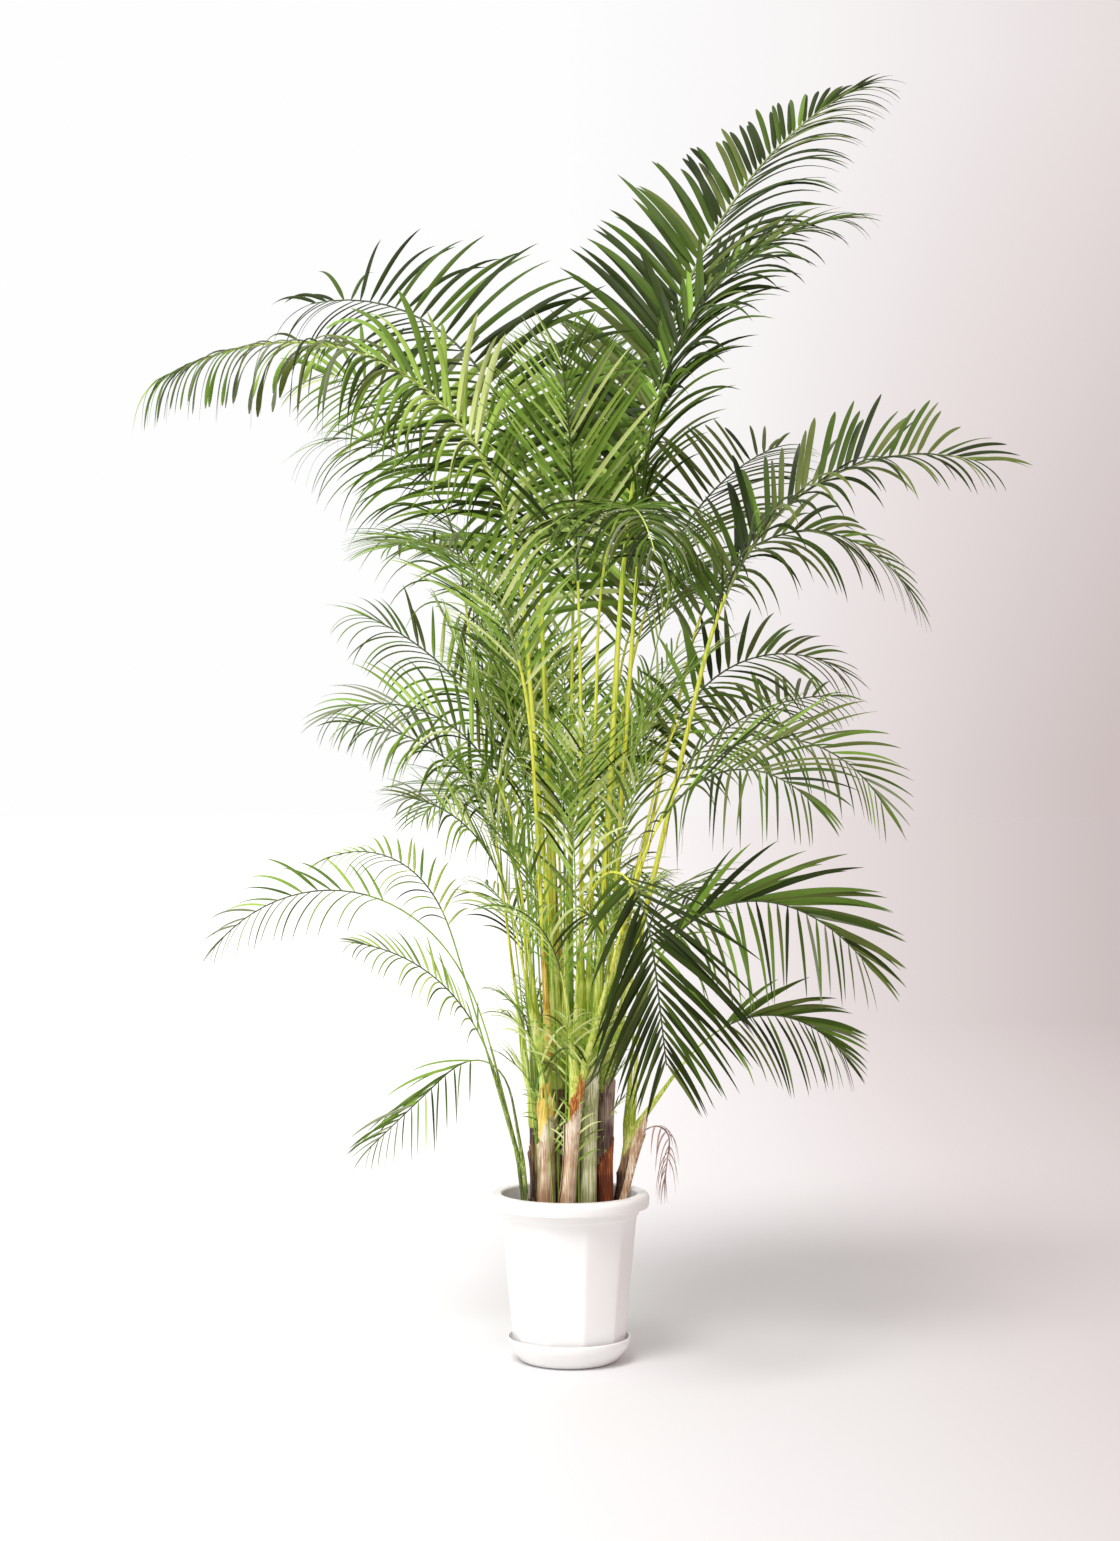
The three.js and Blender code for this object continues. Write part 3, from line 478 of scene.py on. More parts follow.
def material(name, **principled):
    """A new material, with its tree, its principled shader and the coordinates of the object."""
    made = bpy.data.materials.new(name)
    made.use_nodes = True
    tree = made.node_tree
    shader = tree.nodes["Principled BSDF"]
    plug(shader, **principled)
    return made, tree, shader, node(tree, "ShaderNodeTexCoord").outputs["Object"]


def mottled(name, patches, detail, stops, **principled):
    """A material, with its parts, whose colour wanders in soft patches, so many to the metre."""
    made, tree, shader, place = material(name, **principled)
    cloud = node(tree, "ShaderNodeTexNoise", Vector=place, Scale=patches, Detail=detail)
    plug(shader, Base_Color=node(tree, "ShaderNodeValToRGB", {"stops": stops}, Fac=cloud))
    return made, tree, shader, place


def pot_plastic(white):
    """Moulded white polypropylene: a satin shine with a faint unevenness from the mould."""
    # Faint patches of about 110 mm.
    made, tree, shader, place = mottled(
        "moulded_white_polypropylene", 9.0, 2.0, [(0.3, "f2f0ee"), (0.7, white)], Roughness=0.34,
        IOR=1.49)
    # Mould texture of about 1.5 mm, shallow enough to show only in the highlights.
    grain = node(tree, "ShaderNodeTexNoise", Vector=place, Scale=650.0, Detail=1.0)
    plug(shader, Normal=node(tree, "ShaderNodeBump", Strength=0.05, Distance=0.0004, Height=grain))
    return made


def potting_mix():
    """Damp mix of bark, coir and peat: near black crumbs with brown fibres."""
    made, tree, shader, place = material("damp_potting_mix", Roughness=0.95, Specular_IOR_Level=0.25)
    # Crumbs of 4 to 8 mm.
    crumbs = node(tree, "ShaderNodeTexVoronoi", Vector=place, Scale=160.0)
    stops = [(0.15, "17110d"), (0.5, "2b2019"), (0.85, "4a3728")]
    tint = node(tree, "ShaderNodeValToRGB", {"stops": stops}, Fac=crumbs.outputs["Color"])
    bump = node(tree, "ShaderNodeBump", Strength=0.9, Distance=0.003, Height=crumbs.outputs["Distance"])
    plug(shader, Base_Color=tint, Normal=bump)
    return made


def bark_chip():
    """Composted pine bark: rough red-brown flakes, in patches of about 11 mm."""
    stops = [(0.35, "2a1b12"), (0.5, "4b3220"), (0.68, "6d4c33")]
    return mottled("composted_bark", 90.0, 3.0, stops, Roughness=0.9, Specular_IOR_Level=0.3)[0]


def streaked(name, colours, roughness, streak, relief):
    """A fibrous plant skin with streaks up the stem, so many millimetres wide and of some relief."""
    made, tree, shader, place = material(name, Roughness=roughness, Specular_IOR_Level=0.4)
    across = 1 / (streak * MM)
    stretched = node(tree, "ShaderNodeMapping", Vector=place,
                     Scale=(across, across, across / STREAK_STRETCH))
    fibres = node(tree, "ShaderNodeTexNoise", Vector=stretched, Scale=1.0, Detail=3.0, Roughness=0.6)
    # Lighter and darker patches of about 45 mm.
    cloud = node(tree, "ShaderNodeTexNoise", Vector=place, Scale=22.0, Detail=2.0)
    patches = node(tree, "ShaderNodeMath", {"operation": "MULTIPLY_ADD"}, _0=cloud, _1=0.9, _2=-0.75)
    both = node(tree, "ShaderNodeMath", {"operation": "MULTIPLY_ADD"}, _0=fibres, _1=1.6, _2=patches)
    # Darker towards the foot, over the lowest stretch above the potting mix.
    height = node(tree, "ShaderNodeSeparateXYZ", Vector=place).outputs["Z"]
    darker_foot = node(tree, "ShaderNodeMapRange", Value=height, From_Min=SOIL_TOP * MM,
                From_Max=(SOIL_TOP + DARK_FOOT_HEIGHT) * MM, To_Min=-0.3, To_Max=0.0)
    total = node(tree, "ShaderNodeMath", {"operation": "ADD"}, _0=both, _1=darker_foot)
    tint = node(tree, "ShaderNodeValToRGB", {"stops": list(zip(STREAK_STOPS, colours))}, Fac=total)
    bump = node(tree, "ShaderNodeBump", Strength=relief, Distance=0.0007, Height=fibres)
    plug(shader, Base_Color=tint, Normal=bump)
    return made


def cane_skin(colour):
    """Waxy palm cane with streaks and scars: grey-green, straw, plum-brown or fox-red with age."""
    colours = {
        "green": ("5d6637", "98a065", "c9cc9c"),
        "tan": ("7d5a42", "bd9c78", "e6d3b6"),
        "purple": ("33231f", "5f4336", "94745a"),
        "russet": ("54301c", "8a5226", "b98547"),
    }[colour]
    return streaked("waxy_cane_" + colour, colours, 0.55, 2.6, 0.6)


def sheath_skin(look):
    """Palm sheath: fresh and waxy in lime or grey-green, or dried to a papery fibre."""
    colours = {
        "fresh": ("8fa82c", "cad84e", "eef09a"),
        "moss": ("4c5a24", "7c923c", "aabc62"),
        "pale": ("8c8e5c", "bfc08c", "e8e4c8"),
        "straw": ("a8805e", "d9bd9a", "f4e8d6"),
        "gold": ("ae8224", "e2bf48", "f6e594"),
        "orange": ("93481a", "c8772b", "e9b566"),
        "russet": ("6a2f12", "a4531f", "cf8747"),
        "brown": ("3f2a20", "76543d", "b1906c"),
        "plum": ("4a3434", "846b60", "b9a492"),
    }[look]
    return streaked("palm_sheath_" + look, colours, 0.6, 1.8, 0.8)


def petiole_skin():
    """Fresh petiole: smooth and waxy, gold low down where it is blanched, greener higher up."""
    made, tree, shader, place = material("waxy_petiole_gold", Roughness=0.3, Specular_IOR_Level=0.5)
    height = node(tree, "ShaderNodeSeparateXYZ", Vector=place).outputs["Z"]
    # Streaks of about 5 mm across and 290 mm long: partly the petiole's own streaks, partly painted
    # shade in place of its darker sides.
    stretched = node(tree, "ShaderNodeMapping", Vector=place, Scale=(190, 190, 3.5))
    cloud = node(tree, "ShaderNodeTexNoise", Vector=stretched, Scale=1.0, Detail=3.0)
    # The colour turns from gold at 0.45 m to green at 2.3 m over the floor.
    rise = node(tree, "ShaderNodeMapRange", Value=height, From_Min=0.45, From_Max=2.3)
    streaks_and_painted_shade = node(tree, "ShaderNodeMath", {"operation": "MULTIPLY_ADD"}, _0=cloud, _1=1.5, _2=-0.75)
    total = node(tree, "ShaderNodeMath", {"operation": "ADD"}, _0=rise, _1=streaks_and_painted_shade)
    stops = [(0.0, "70701c"), (0.16, "d2d22c"), (0.36, "f6f664"), (0.62, "c0d844"), (0.92, "7ca034")]
    plug(shader, Base_Color=node(tree, "ShaderNodeValToRGB", {"stops": stops}, Fac=total))
    return made


def rib_skin(look):
    """Fresh rib of a leaf: smooth and waxy, in one green with paler stretches of about 60 mm."""
    colours = {
        "pale": ("a8be50", "d0e07c"),
        "dull": ("6c7c3a", "98a862"),
        "green": ("749a30", "a2c050"),
        "dark": ("364420", "566634"),
    }[look]
    return mottled("waxy_rib_" + look, 16.0, 2.0, list(zip(SOFT_STOPS, colours)), Roughness=0.38,
                   Specular_IOR_Level=0.4)[0]


def leaf_skin(tone):
    """Palm leaflet: a waxy blade with fine veins along it, paler in patches of about 180 mm."""
    colours = {
        "deep": ("202c04", "2f3f0a"),
        "dark": ("3a4f10", "4b631a"),
        "mid": ("587426", "6b8930"),
        "fresh": ("759836", "89ac42"),
        "bright": ("9aba4e", "b0cb62"),
        "lime": ("c8d97a", "e0eba2"),
        "olive": ("545f27", "6e7a3b"),
        # Painted reflection: a grey that stands in for the sky mirrored in the leaf.
        "sheen": ("707a58", "8e9674"),
        "dry": ("8a6659", "b8988c"),
    }[tone]
    made, tree, shader, _ = mottled("palm_leaflet_" + tone, 5.5, 3.0, list(zip(SOFT_STOPS, colours)),
                                    Roughness=0.48, IOR=1.45, Specular_IOR_Level=0.2)
    # About ten veins across the blade, drawn from its own map.
    blade = node(tree, "ShaderNodeTexCoord").outputs["UV"]
    veins = node(tree, "ShaderNodeTexWave", {"bands_direction": "X"}, Vector=blade, Scale=3.2,
                 Distortion=0.4)
    plug(shader, Normal=node(tree, "ShaderNodeBump", Strength=0.25, Distance=0.0004,
                             Height=veins.outputs["Fac"]))
    return made


def keep(piece, look, replaces=()):
    """Dresses a finished piece, lets it ride on the root and hides the CAD parts that it stands for."""
    piece.data.materials.clear()
    piece.data.materials.append(look)
    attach(piece, "root")
    if replaces:
        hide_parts(*sorted(set(replaces)))


def put(name, mesh, sharp):
    """A piece from a mesh, smooth but for its edges that are sharper than an angle in degrees."""
    mesh.polygons.foreach_set("use_smooth", np.ones(len(mesh.polygons), bool))
    mesh.set_sharp_from_angle(angle=math.radians(sharp))
    piece = bpy.data.objects.new(name, mesh)
    bpy.context.scene.collection.objects.link(piece)
    return piece


def joined(name, points, faces, sharp, maps=None):
    """A piece from arrays of points and faces, and of the points' places on a map if given."""
    mesh = bpy.data.meshes.new(name)
    mesh.from_pydata(points, [], faces)
    if maps is not None:
        layer = mesh.uv_layers.new(name="UVMap")
        layer.data.foreach_set("uv", maps[faces.ravel()].ravel().astype(np.float32))
    piece = put(name, mesh, sharp)
    mesh.validate()
    return piece


def finished(name, bm, sharp=40):
    """A piece from a bmesh."""
    mesh = bpy.data.meshes.new(name)
    bm.to_mesh(mesh)
    bm.free()
    return put(name, mesh, sharp)


def turned(profile, steps):
    """A bmesh turned about the pot's axis from points of radius and height, in metres."""
    bm = bmesh.new()
    points = [bm.verts.new((radius, 0, height)) for radius, height in profile]
    edges = [bm.edges.new(pair) for pair in zip(points, points[1:])]
    bmesh.ops.spin(bm, geom=points + edges, cent=(0, 0, 0), axis=(0, 0, 1), angle=2 * math.pi,
                   steps=steps, use_merge=True, use_duplicate=False)
    bmesh.ops.remove_doubles(bm, verts=bm.verts, dist=1e-6)
    bmesh.ops.recalc_face_normals(bm, faces=bm.faces)
    return bm


def arc(centre, radius, first, last, steps):
    """Points of a round corner, angles in degrees from the outward direction towards up."""
    turns = [math.radians(lerp(first, last, i / steps)) for i in range(steps + 1)]
    return [(centre[0] + radius * math.cos(turn), centre[1] + radius * math.sin(turn)) for turn in turns]


def draw_flats(bm, sizes):
    """Draws the pot's wall in towards its flats between the soft corners, all but the rim."""
    wedge = 2 * math.pi / sizes.flats
    fade_top = sizes.rim_top - RIM_HEIGHT * MM
    for vertex in bm.verts:
        angle = math.atan2(vertex.co.y, vertex.co.x) - math.radians(POT_CORNER_AT)
        turns = angle / wedge
        from_corner = abs(turns - round(turns)) * 2
        below = 1 - smoothstep(vertex.co.z, fade_top - FLAT_FADE * MM, fade_top)
        draw = 1 - sizes.flat_depth * below * from_corner * (2 - from_corner)
        vertex.co.x *= draw
        vertex.co.y *= draw


def pot_profile(sizes):
    """Outline of the pot's wall: foot, body, collar, rolled rim and inside, in metres."""
    stand = (FLOOR + GAP) * MM
    rim_foot = sizes.rim_top - RIM_HEIGHT * MM
    corner = RIM_ROUND * MM
    rim_middle = sizes.rim_radius - corner
    inside = OPENING_R * MM
    lip = 5 * MM
    outside = [
        (0, stand),
        (FOOT_R * MM - 0.004, stand),
        *arc((FOOT_R * MM - 0.004, stand + 0.004), 0.004, -70, -40, 3),
        (BODY_LOW_R * MM - 0.006, BODY_LOW_Z * MM / 2),
        (BODY_LOW_R * MM - 0.0015, BODY_LOW_Z * MM * 0.8),
        (BODY_LOW_R * MM, BODY_LOW_Z * MM),
    ]
    for i in range(1, BODY_STEPS + 1):
        share = i / BODY_STEPS
        outside.append((lerp(BODY_LOW_R, BODY_TOP_R - 1, share) * MM,
                        lerp(BODY_LOW_Z * MM, rim_foot - 0.019, share)))
    collar = BODY_TOP_R * MM + 0.0035
    rim = [
        (BODY_TOP_R * MM - 0.0005, rim_foot - 0.017),
        *arc((collar - 0.002, rim_foot - 0.012), 0.002, -60, 0, 3),
        (collar, rim_foot - 0.001),
        *arc((sizes.rim_radius - 0.005, rim_foot + 0.004), 0.004, -90, -15, 4),
        *arc((rim_middle, sizes.rim_top - corner), corner, 0, 90, 7),
        *arc((inside + lip, sizes.rim_top - lip), lip, 90, 170, 5),
    ]
    wall = (BODY_LOW_R - WALL) * MM
    floor = stand + FLOOR * MM
    inner = [
        (wall, BODY_LOW_Z * MM),
        (FOOT_R * MM, floor + 0.006),
        (FOOT_R * MM - 0.006, floor),
        (0, floor),
    ]
    return outside + rim + inner


def saucer_profile(sizes):
    """Outline of the saucer: a quarter-sine bowl with a rounded rim, in metres."""
    outside = []
    for i in range(BOWL_STEPS + 1):
        share = i / BOWL_STEPS
        radius = lerp(SAUCER_FOOT_R * MM, sizes.saucer_radius, math.sin(share * math.pi / 2))
        outside.append((radius, share * sizes.saucer_height * 0.97))
    edge = WALL * MM / 2
    rim = arc((sizes.saucer_radius - edge, sizes.saucer_height - edge), edge, 20, 160, 5)
    floor = FLOOR * MM
    inside = [(radius - WALL * MM, max(height, floor)) for radius, height in reversed(outside)]
    return [(0, 0), (SAUCER_FOOT_R * MM - 0.004, 0), *outside[1:], *rim, *inside, (0, floor)]


def soil_profile():
    """Outline of the potting mix, a little lower along the pot's wall, in metres."""
    top = SOIL_TOP * MM
    low = 2 * (FLOOR + GAP) * MM
    wall = (OPENING_R - 4) * MM
    rings = [(wall * i / SOIL_RINGS, top - SOIL_DROP * smoothstep(i / SOIL_RINGS, 0.86, 1.0))
             for i in range(SOIL_RINGS + 1)]
    return [(0, low), ((FOOT_R - 5) * MM, low), ((BODY_LOW_R - 5) * MM, BODY_LOW_Z * MM),
            *reversed(rings)]


def chips(count, seed, radius, height):
    """Flat angular flakes that lie on the potting mix, as arrays of points and faces."""
    chance = np.random.default_rng(seed)
    angle = chance.uniform(0, 2 * math.pi, count)
    out = radius * np.sqrt(chance.uniform(0, 1, count))
    size = chance.uniform(*CHIP_HALF, count)
    centres = np.stack([out * np.cos(angle), out * np.sin(angle), np.full(count, height)], axis=1)
    square = ((-1, -1), (1, -1), (1, 1), (-1, 1))
    corners = np.array([(x, y, z) for z in (-1, 1) for x, y in square], float)
    box = np.array([(3, 2, 1, 0), (4, 5, 6, 7), (0, 1, 5, 4), (1, 2, 6, 5), (2, 3, 7, 6), (3, 0, 4, 7)])
    points = []
    for centre, half in zip(centres, size):
        shape = corners * half * chance.uniform(0.6, 1.2, corners.shape) * CHIP_SHAPE
        turn = Matrix.Rotation(chance.uniform(0, 6.3), 3, "Z") @ Matrix.Rotation(
            chance.normal(0, 0.3), 3, "X")
        points.append(shape @ np.array(turn).T + centre + (0, 0, half * 0.15))
    faces = (np.arange(count)[:, None, None] * len(corners) + box).reshape(-1, 4)
    return np.concatenate(points), faces


def cane_middle(cane, height):
    """The middle of a cane at a height over the floor, in metres."""
    rise = height - SOIL_TOP * MM
    return np.array([cane["x"] * MM + cane["drift"][0] * rise, cane["y"] * MM + cane["drift"][1] * rise,
                     height])


def cane_radius(cane, height):
    """The plain radius of a cane at a height over the floor, in metres."""
    rise = (cane["top"] - SOIL_TOP) * MM
    share = (height - SOIL_TOP * MM) / rise
    flare = 1 + CANE_FLARE * (1 - smoothstep(share, 0, 1 / 3))
    return cane["radius"] * cane["slim"] * MM * (1 - CANE_TAPER * share) * flare


def grow_cane(bm, cane, sizes):
    """Adds a cane to the bmesh: rings extruded upwards, with leaf scars that stand out."""
    low = SOIL_TOP * MM - CANE_SUNK
    top = cane["top"] * MM + 0.001
    steps = max(12, round((top - low) / CANE_STEP))
    # The scars of two canes seldom stand at one height.
    phase = (cane["x"] % 17) / 17
    ring = bmesh.ops.create_circle(bm, cap_ends=False, radius=1.0, segments=18)["verts"]
    edges = list(dict.fromkeys(edge for vertex in ring for edge in vertex.link_edges))
    before = Matrix.Identity(4)
    for i in range(steps + 1):
        height = lerp(low, top, i / steps)
        turns = (height - low) / sizes.ring_spacing + phase
        scar = math.exp(-(((turns - round(turns)) * sizes.ring_spacing / SCAR_HALF) ** 2))
        # A little thinner between the scars than at them.
        waist = math.cos(2 * math.pi * turns) * 0.02
        bare = cane_radius(cane, max(height, SOIL_TOP * MM))
        radius = bare * (0.96 + waist) + scar * sizes.ring_height
        if i == steps:
            radius *= 0.8
        after = Matrix.Translation(cane_middle(cane, height)) @ Matrix.Diagonal((radius, radius, 1, 1))
        if i:
            grown = bmesh.ops.extrude_edge_only(bm, edges=edges)["geom"]
            ring = [part for part in grown if isinstance(part, bmesh.types.BMVert)]
            edges = [part for part in grown if isinstance(part, bmesh.types.BMEdge)
                     and all(vertex in ring for vertex in part.verts)]
        bmesh.ops.transform(bm, matrix=after @ before.inverted(), verts=ring)
        before = after
        if i in (0, steps):
            bmesh.ops.contextual_create(bm, geom=edges)


def rib_from(start, frond):
    """The stations of a rib from its foot: point, way along, upper side and left side."""
    shares = np.arange(RIB_STEPS + 1) / RIB_STEPS
    turn = math.radians(frond["heading"])
    leans = np.radians(lerp(*frond["lean"], smoothstep(shares, *frond["bend"])))[:, None]
    out = np.array([[math.cos(turn), math.sin(turn), 0.0]])
    along = out * np.sin(leans) + UP * np.cos(leans)
    upper = -out * np.cos(leans) + UP * np.sin(leans)
    steps = along[:-1] * frond["length"] * MM / RIB_STEPS
    point = np.array(start) + np.concatenate([np.zeros((1, 3)), np.cumsum(steps, axis=0)])
    return dict(point=point, along=along, upper=upper, left=np.cross(upper, along))


def rib_of(frond):
    """The rib of a frond on the top of its cane."""
    cane = CANES[frond["cane"]]
    seat = math.radians(frond["seat"])
    out = SEAT_SHARE * cane["radius"] * MM
    step = np.array([out * math.cos(seat), out * math.sin(seat), GAP * MM])
    return rib_from(cane_middle(cane, cane["top"] * MM) + step, frond)


def stations(rib, shares):
    """The rib's values at shares of its length."""
    place = np.minimum(shares * RIB_STEPS, RIB_STEPS - 1e-6)
    low = place.astype(int)
    mix = (place - low)[:, None]
    return {key: lerp(values[low], values[low + 1], mix) for key, values in rib.items()}


def rib_radius(frond, shares, swell):
    """The radius of a rib at shares of its length, in metres: stouter on a longer frond."""
    foot = min(5, 2 + 0.0025 * frond["length"])
    return lerp(foot * swell * frond["stout"], RIB_TIP_R, shares**1.15) * MM


def rib_share(frond, along):
    """Shares of a rib's length at shares of its blade."""
    return frond["bare"] + (1 - frond["bare"]) * along**CROWDING


def leaf_length(frond, along):
    """Leaflets get longer over the first third of the blade and shorter towards its tip."""
    growing = np.minimum(1, 0.78 + 0.9 * along)
    past = np.maximum(0, (along - 0.35) / 0.65)
    return frond["leaf"] * MM * growing * (1 - 0.62 * past**1.3)


def rib_rings(frond, rib, swell, low, high):
    """Points and faces of a stretch of rib: a channelled petiole or a slim rachis."""
    shares = np.linspace(low, high, max(4, round((high - low) * RIB_STEPS)))
    at = stations(rib, shares)
    radius = rib_radius(frond, shares, swell)[:, None, None]
    turns = np.linspace(0, 2 * np.pi, RIB_SIDES, endpoint=False)[None, :, None]
    # The upper side is hollowed low down and keeled higher up.
    keel = lerp(-0.45, 0.12, smoothstep(shares, 0.1, frond["bare"] + 0.1))[:, None, None]
    shape = 1 + keel * np.exp(-(((turns - np.pi / 2) / 0.55) ** 2))
    return tube(at["point"][:, None] + radius * shape * (
        np.cos(turns) * at["left"][:, None] * 1.1 + np.sin(turns) * at["upper"][:, None]))


def clasp(frond, rib, swell, layer):
    """Points and faces of the sheath by which a petiole clasps its cane, an outer layer lower."""
    cane = CANES[frond["cane"]]
    top = cane["top"] * MM
    drop = CLASP_DROP + CLASP_LAYER * layer
    reach = min(0.5, SHEATH_REACH / frond["length"])
    foot = np.array([cane_middle(cane, top - drop * share) for share in (1.0, 0.96, 0.66, 0.33)])
    shares = np.linspace(0.02, reach, 11)
    at = stations(rib, shares)
    point = np.concatenate([foot, at["point"]])
    left = np.concatenate([np.repeat(rib["left"][:1], len(foot), axis=0), at["left"]])
    upper = np.concatenate([np.repeat(rib["upper"][:1], len(foot), axis=0), at["upper"]])
    wide = cane_radius(cane, top) * (1.04 + 0.03 * layer)
    # As wide as the cane at its foot, closing on the petiole as it rises.
    closing = 1 - (1 - shares / reach) ** 1.6
    radius = np.concatenate([
        np.array([0.97, 1.05, 1.07, 1.06]) * wide,
        lerp(wide, rib_radius(frond, shares, swell) * 1.06, closing),
    ])[:, None, None]
    turns = np.linspace(0, 2 * np.pi, CLASP_SIDES, endpoint=False)[None, :, None]
    ring = np.cos(turns) * left[:, None] + np.sin(turns) * upper[:, None]
    return tube(point[:, None] + radius * ring)


def wrap_sheath(bm, name, low, high, first, turn, sizes):
    """Adds an old sheath to the bmesh: a thin sheet bent round its cane and torn at the top."""
    cane = CANES[name]
    sheet = bmesh.ops.create_grid(bm, x_segments=30, y_segments=14, size=0.5)["verts"]
    for vertex in sheet:
        across, up = vertex.co.x + 0.5, vertex.co.y + 0.5
        angle = math.radians(first + turn * across)
        # The torn edge is ragged, and highest at one tongue.
        torn = noise.noise((across * 9, low * 0.37, high * 0.11))
        torn += 0.5 * noise.noise((across * 27, high, low))
        tongue = math.cos((across - 0.45) * math.pi) ** 2
        top = lerp(high - TEAR, high, tongue) * MM + torn * TEAR * 0.28 * MM
        height = lerp(low * MM, top, up)
        # Creases run up the sheet, which lifts off the cane towards its top.
        crease = 0.0007 * math.sin(across * 21 + high) + 0.0004 * math.sin(across * 47 + low)
        lift = 0.0055 * up**3 * (1 - tongue * 0.6) + 0.0012 * across
        radius = cane_radius(cane, height) * 1.05 + 0.0012 + crease + lift
        vertex.co = Vector(cane_middle(cane, height)) + Vector(
            (radius * math.cos(angle), radius * math.sin(angle), 0))
    bm.normal_update()
    faces = list(dict.fromkeys(face for vertex in sheet for face in vertex.link_faces))
    bmesh.ops.solidify(bm, geom=faces, thickness=sizes.sheath_thickness)


def tube(rings):
    """Points and faces of a closed tube through rings of points, the ends drawn to their middles."""
    count, around = rings.shape[:2]
    ends = [rings[0].mean(axis=0, keepdims=True), rings[-1].mean(axis=0, keepdims=True)]
    points = np.concatenate([rings.reshape(-1, 3), *ends])
    one = np.arange(around)
    two = (one + 1) % around
    side = np.stack([one, two, two + around, one + around], axis=1)
    faces = (np.arange(count - 1)[:, None, None] * around + side).reshape(-1, 4)
    last = (count - 1) * around
    foot = np.stack([np.full(around, count * around), two, one], axis=1)
    tip = np.stack([np.full(around, count * around + 1), one + last, two + last], axis=1)
    return points, faces, foot, tip


def gathered(parts):
    """Joins (points, faces...) groups into one array of points and a list of faces."""
    points, faces, base = [], [], 0
    for these, *groups in parts:
        points.append(these)
        for group in groups:
            faces.extend((group + base).tolist())
        base += len(these)
    return np.concatenate(points), faces


def leaf_seats(frond, rib, sizes, chance):
    """Where a frond's leaflets stand, which way they grow and how long they are."""
    blade = frond["length"] * (1 - frond["bare"]) * MM
    pitch = (sizes.least_pitch + sizes.pitch_share * frond["leaf"] * MM) * frond["close"]
    pairs = max(6, round(blade / pitch))
    rows = []
    for side, spread in ((1, frond["left"]), (-1, frond["right"])):
        # Left and right leaflets alternate, and each stands a little off its place.
        along = (np.arange(pairs) + 0.5 + STAGGER * side + chance.uniform(-0.12, 0.12, pairs)) / pairs
        along = np.clip(along, 0.004, 0.997)
        at = stations(rib, rib_share(frond, along))
        # 1 on the side that the roll lifts, -1 on the lowered one and 0 without a roll.
        up = side * np.sign(frond["roll"])
        tip = LEAF_ANGLE_TIP * (frond["tip"] if up > 0 else 1)
        folded = TIP_FOLD * (up > 0) * smoothstep(along, 0.8, 0.96)
        angle = lerp(LEAF_ANGLE_LOW * spread, tip, along**ANGLE_POWER) * (1 - folded)
        blunt = smoothstep(along, frond["blunt"], frond["blunt"] + 0.2)
        blunt *= (1 - smoothstep(along, 0.86, 0.96)) * (up > 0 and frond["blunt"] > 0)
        turn = np.radians(angle + chance.normal(0, ANGLE_SPRAY, pairs))[:, None]
        lift = np.radians(frond["vee"] + chance.normal(0, VEE_SPRAY, pairs))[:, None]
        levelled = 1 - frond["level"] * smoothstep(along, 0.3, 0.65)
        roll = np.radians(frond["roll"] * levelled)[:, None]
        hang = 1 - SIDE_DROOP * up * levelled + LEVEL_DROOP * (1 - levelled)
        lifted = at["upper"] * np.cos(roll) - at["left"] * np.sin(roll)
        sideways = at["left"] * np.cos(roll) + at["upper"] * np.sin(roll)
        out = (at["along"] * np.cos(turn) + sideways * side * np.sin(turn) * np.cos(lift)
               + lifted * np.sin(turn) * np.sin(lift))
        radius = rib_radius(frond, rib_share(frond, along), 1.0)[:, None]
        rows.append(dict(
            root=at["point"] + at["left"] * side * radius * 0.6 + at["upper"] * radius * 0.3,
            out=out,
            face=unit(side * np.cross(at["along"], out)),
            length=leaf_length(frond, along) * chance.uniform(0.93, 1.03, pairs)
            * (1 - BLUNT_SHORT * blunt),
            droop=frond["droop"] * hang * chance.uniform(0.75, 1.3, pairs) + 0.04,
            twist=chance.normal(0, 0.3, pairs) + side * 0.2,
            along=along,
            broad=np.full(pairs, frond["broad"] * (1 + SIDE_BROAD * up)),
            blunt=blunt,
            up=np.full(pairs, up),
        ))
    return {key: np.concatenate([row[key] for row in rows]) for key in rows[0]}


